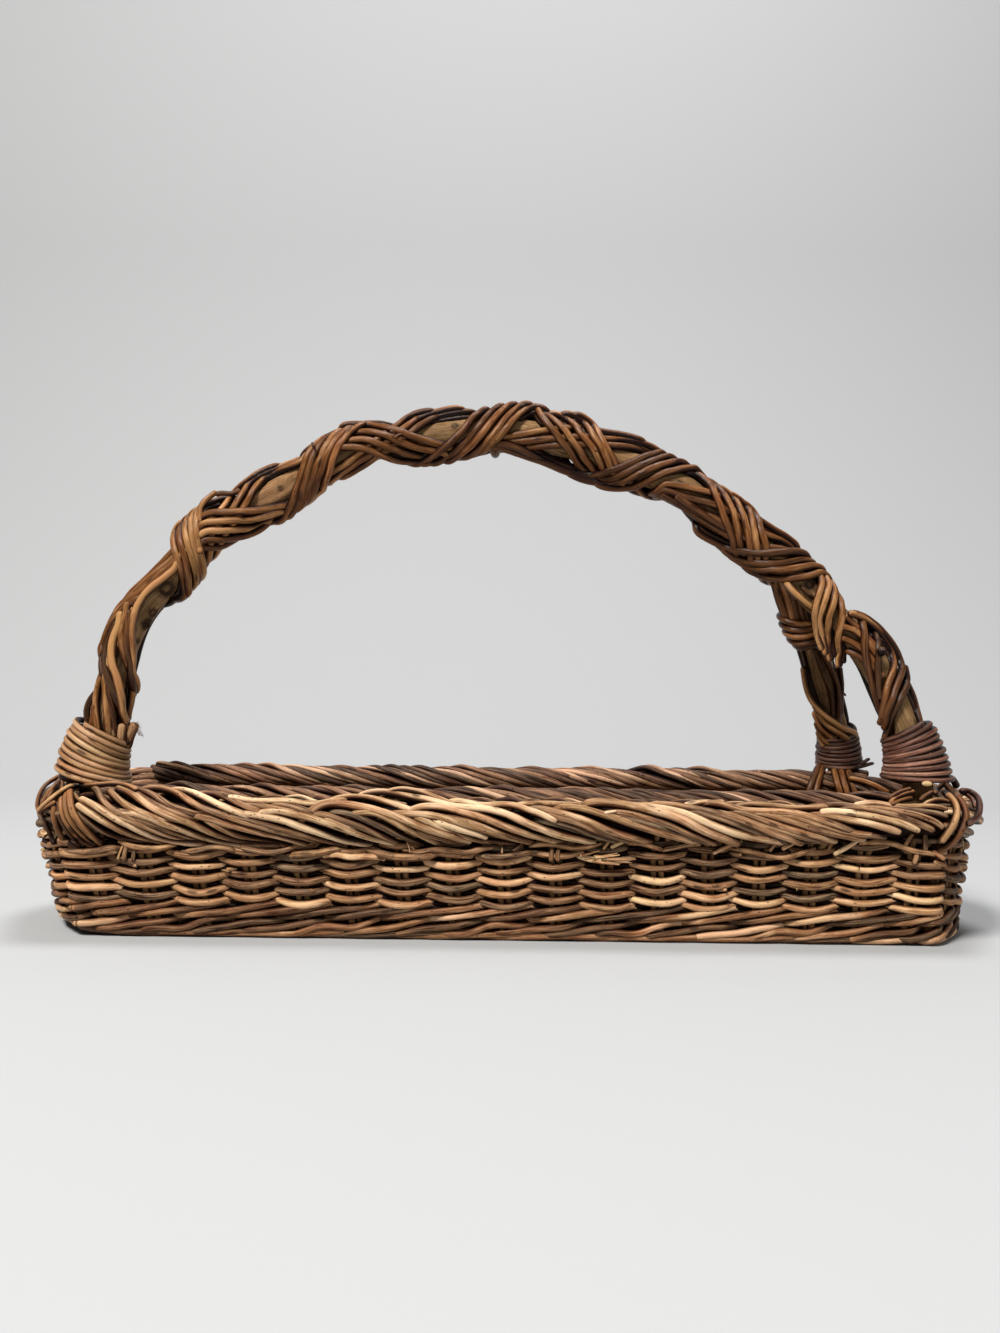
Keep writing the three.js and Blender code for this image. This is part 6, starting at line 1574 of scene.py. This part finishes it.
# --- rods tied over the border: each point of the photograph is put where it meets a sleeve round the rope
_ring_S = np.arange(0, PER, 1.0)
_ring_P, _ring_N = rim(_ring_S)


def on_rim(px, py, radius):
    best = None
    for y in np.arange(-84.0, -4.0, 0.75):
        q = seen(px, py, y)
        d = np.min(np.linalg.norm(_ring_P - q, axis=1))
        if best is None or d < best[0]:
            best = (d, q)
        if d < radius:
            return q
        if d > best[0] + 6 and best[0] < radius + 9:
            break
    return best[1]


def tied(rods, points, radius, rad, tone, seed, ends=("round", "round"), back=None, front=None):
    q = [on_rim(px, py, radius) for px, py in points]
    if front is not None:
        q = [np.array(front)] + q
    if back is not None:
        q = q + [np.array(back)]
    p = gsmooth(spline(q, 1.6), 1.6)
    near = np.array([_ring_P[int(np.argmin(np.linalg.norm(_ring_P - x, axis=1)))] for x in p])
    rods.add(p, rad, unit(p - near), tone, seed, sides=12, ends=ends, rough=0.05)


ties = Rods()
for j, (points, rad, tone, sleeve) in enumerate([
        ([(57, 796), (54.5, 806), (54, 815), (57, 826), (63, 836), (70, 843), (79, 849)], 1.75, 0.46, 10.6),
        ([(58.5, 800), (58, 809), (60, 818), (65, 827), (72, 836), (81, 845)], 1.0, 0.16, 10.3),
        ([(62, 774), (62, 784), (61.5, 792), (60.5, 800), (61, 809), (64, 818), (70, 827), (78, 835.5), (87, 842), (94, 845)], 1.2, 0.66, 11.0),
        ([(66.5, 784), (66, 792), (65, 801), (66, 810), (70, 819), (77, 827.5), (86, 836), (96, 843)], 1.35, 0.56, 11.1),
        ([(69.5, 774), (70, 784), (69.5, 793), (70.5, 803), (74, 813), (80, 822), (88, 830), (97, 838), (103, 842.5)], 1.85, 0.62, 11.3)]):
    tied(ties, points, sleeve, rad, tone, 5800 + j)
tied(ties, [(38, 810.5), (44, 803.5), (52, 797), (60, 790.5), (67, 786.5), (78, 785), (92, 784.2), (106, 782.6), (118, 782.3), (128, 784.5), (137, 788.5)], 13.2, 1.4, 0.8, 5810)
tied(ties, [(40, 810), (47, 804.5), (56, 800.5)], 12.4, 1.25, 0.55, 5811)
keep(ties.build("left_leg_tie_rods", TIE), "left_leg_ties", slot="handle_rods")
ties = Rods()
tied(ties, [(944, 790.5), (951, 796.7), (956, 804), (957, 811), (955, 819), (951, 827.4), (945, 834.6), (941, 840)], 12.4, 1.85, 0.72, 5820)
tied(ties, [(946, 783), (953, 790.5), (960, 798.7), (965.4, 808), (966.4, 816), (963, 825.4), (958, 834.6), (951, 842), (943, 847), (935, 851)], 12.6, 1.85, 0.4, 5821)
tied(ties, [(935, 792), (939, 786), (945, 781), (950, 777)], 13.0, 1.5, 0.4, 5822)
for j, (points, tone) in enumerate([([(890.5, 802), (892.6, 798), (899.7, 794.6), (908, 791.5), (915, 790.5)], 0.66), ([(891, 803), (899, 800), (908, 797.5), (913, 797)], 0.45), ([(889, 798), (894, 793.5), (902, 789.5), (912, 787.5)], 0.35), ([(920, 799), (926, 794), (934, 790)], 0.3)]):
    tied(ties, points, 11.9 + 0.2 * j, 1.25, tone, 5825 + j)
keep(ties.build("right_leg_tie_rods", TIE), "right_leg_ties", slot="dark_binding_rods")
loops = Rods()
tied(loops, [(60, 774), (50, 780), (43, 787), (39, 795), (37.5, 803), (39, 810), (42, 812)], 12.2, 1.2, 0.5, 5840)
tied(loops, [(57, 781), (51, 789), (46, 796), (42, 803)], 11.8, 1.3, 0.6, 5841)
tied(loops, [(60, 777), (55, 786), (50, 794), (48, 800)], 11.4, 1.1, 0.4, 5842)
tied(loops, [(43, 813), (46, 823), (50, 832), (54, 843)], 10.4, 1.2, 0.2, 5843)
tied(loops, [(49, 833), (44, 834), (41.5, 838), (43.5, 842), (48, 841)], 9.6, 0.6, 0.1, 5844)
keep(loops.build("left_corner_loop_rod", TIE), "left_corner_loop", slot="handle_rods")
loops = Rods()
tied(loops, [(961, 789.5), (970.5, 790), (976.7, 794.6), (979.7, 804), (978.7, 813), (973.6, 819), (967.4, 823)], 15.5, 1.65, 0.3, 5850)
tied(loops, [(963, 791.5), (970.5, 795.6), (973.6, 801.8), (974.6, 806)], 14.0, 0.95, 0.5, 5851)
tied(loops, [(951, 776), (955, 780), (957, 786)], 13.0, 1.9, 0.1, 5852)
keep(loops.build("right_corner_loop_rod", REDBIND), "right_corner_loop", slot="dark_binding_rods")


def rim_S(x, y):
    return _ring_S[int(np.argmin((_ring_P[:, 0] - x) ** 2 + (_ring_P[:, 1] - y) ** 2))]


def over_rim(rods, S0, S1, a0, a1, r0, r1, rad, tone, seed, n=30, ends=("round", "round"), bulge=0.0):
    f = np.linspace(0, 1, n)
    S = S0 + (S1 - S0) * f
    a = np.radians(a0 + (a1 - a0) * f)
    c, nn = rim(S)
    radial = nn * np.cos(a)[:, None] + np.array([0, 0, 1.0]) * np.sin(a)[:, None]
    r = r0 + (r1 - r0) * f + bulge * np.sin(math.pi * f)
    rods.add(c + radial * r[:, None], rad, radial, tone, seed, sides=12, ends=ends, rough=0.04)


for node, mat, slot_, rows in (
        ("inner_leg_tie_1", HANDLE, "dark_binding_rods", [([(817, 768), (812, 780), (808, 792), (806, 802)], 1.9, 0.30), ([(821, 770), (817, 784), (815, 794), (814, 803)], 1.9, 0.5)]),
        ("inner_leg_tie_2", HANDLE, "handle_rods", [([(834, 770), (837, 782), (840, 792), (841, 802)], 1.9, 0.55), ([(841, 770), (844, 782), (847, 792), (848, 802)], 1.9, 0.62), ([(848, 770), (852, 782), (855, 792), (856, 803)], 1.9, 0.5)])):
    ties = Rods()
    for j, (points, rad, tone) in enumerate(rows):
        q = [seen(px, py, y) for (px, py), y in zip(points, (33, 27.5, 25.5, 27))]
        ties.add(spline(q, 1.4), rad, (0, -1, 0.4), tone, 5860 + 10 * len(rows) + j, sides=12, rough=0.05)
        # and down the inside of the basket
        back_ = [seen(points[0][0] + 2, points[0][1] - 4, 40), seen(*points[0], 33)]
        ties.add(spline(back_, 1.4), rad, (0, -1, 1), tone, 5880 + 10 * len(rows) + j, sides=12)
    if node == "inner_leg_tie_2":
        for j, (points, rad, tone) in enumerate([([(851, 777), (864, 780), (876, 785), (887, 791)], 1.7, 0.6), ([(855, 785), (863, 788), (871, 792)], 1.3, 0.25)]):
            ties.add(spline([seen(px, py, 26 - 2.2 * m) for m, (px, py) in enumerate(points)], 1.4), rad, (0, -1, 0.5), tone, 5895 + j, sides=10)
    keep(ties.build(node + "_rods", mat), node, slot=slot_)

# ------------------------------------------------------------------ stage
def stage_material():
    m = bpy.data.materials.new("pale_floor")
    m.use_nodes = True
    b = m.node_tree.nodes["Principled BSDF"]
    b.inputs["Base Color"].default_value = (0.40, 0.405, 0.41, 1)
    b.inputs["Roughness"].default_value = 0.9
    b.inputs["Specular IOR Level"].default_value = 0.1
    return m


prof = [(-2.6, 0.0), (0.55, 0.0)]
for k in range(1, 25):
    a = math.pi / 2 * k / 24
    prof.append((0.55 + 0.9 * math.sin(a), 0.9 - 0.9 * math.cos(a)))
prof.append((1.45, 4.0))
verts, faces = [], []
for (y, z) in prof:
    verts += [(-4.5, y, z), (4.5, y, z)]
for i in range(len(prof) - 1):
    faces.append((2 * i, 2 * i + 1, 2 * i + 3, 2 * i + 2))
fm = bpy.data.meshes.new("floor_sweep")
fm.from_pydata(verts, [], faces)
for pgn in fm.polygons:
    pgn.use_smooth = True
fm.materials.append(stage_material())
floor = bpy.data.objects.new("floor_sweep", fm)
bpy.context.scene.collection.objects.link(floor)
floor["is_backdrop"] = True


def area(name, loc, target, size, power, colour=(1, 1, 1)):
    d = bpy.data.lights.new(name, "AREA")
    d.shape = "DISK"
    d.size = size
    d.energy = power
    d.color = colour
    o = bpy.data.objects.new(name, d)
    o.location = loc
    o.rotation_mode = "QUATERNION"
    o.rotation_quaternion = (Vector(target) - Vector(loc)).to_track_quat("-Z", "Y")
    bpy.context.scene.collection.objects.link(o)


area("key_light", (-0.95, -1.55, 2.35), (0, 0, 0.1), 0.8, 120, (1.0, 0.985, 0.95))
area("top_light", (0.35, 0.25, 2.6), (0, 0, 0.1), 0.9, 44, (0.99, 0.99, 1.0))
area("fill_light", (2.0, -1.6, 1.0), (0, 0, 0.12), 1.2, 9, (0.98, 0.98, 1.0))
world = bpy.data.worlds.new("studio")
world.use_nodes = True
world.node_tree.nodes["Background"].inputs[0].default_value = (1.0, 0.965, 0.93, 1)
world.node_tree.nodes["Background"].inputs[1].default_value = 0.11
bpy.context.scene.world = world
bpy.context.scene.view_settings.view_transform = "Standard"

cam_data = bpy.data.cameras.new("camera")
cam_data.sensor_width = 36.0
cam_data.sensor_fit = "AUTO"
cam_data.lens = FOCAL_PX * 36.0 / 1333.0
cam_data.clip_start = 0.01
cam_data.clip_end = 50
cam = bpy.data.objects.new("camera", cam_data)
eye = (EYE + SHIFT) / 1000.0
cam.matrix_world = Matrix.Translation(Vector(eye)) @ Matrix.Rotation(math.pi / 2, 4, "X") @ Matrix.Rotation(ROLL, 4, "Z")
bpy.context.scene.collection.objects.link(cam)
bpy.context.scene.camera = cam
# the optical axis meets the photograph at (500, 665), within two pixels of its middle

lo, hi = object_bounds()
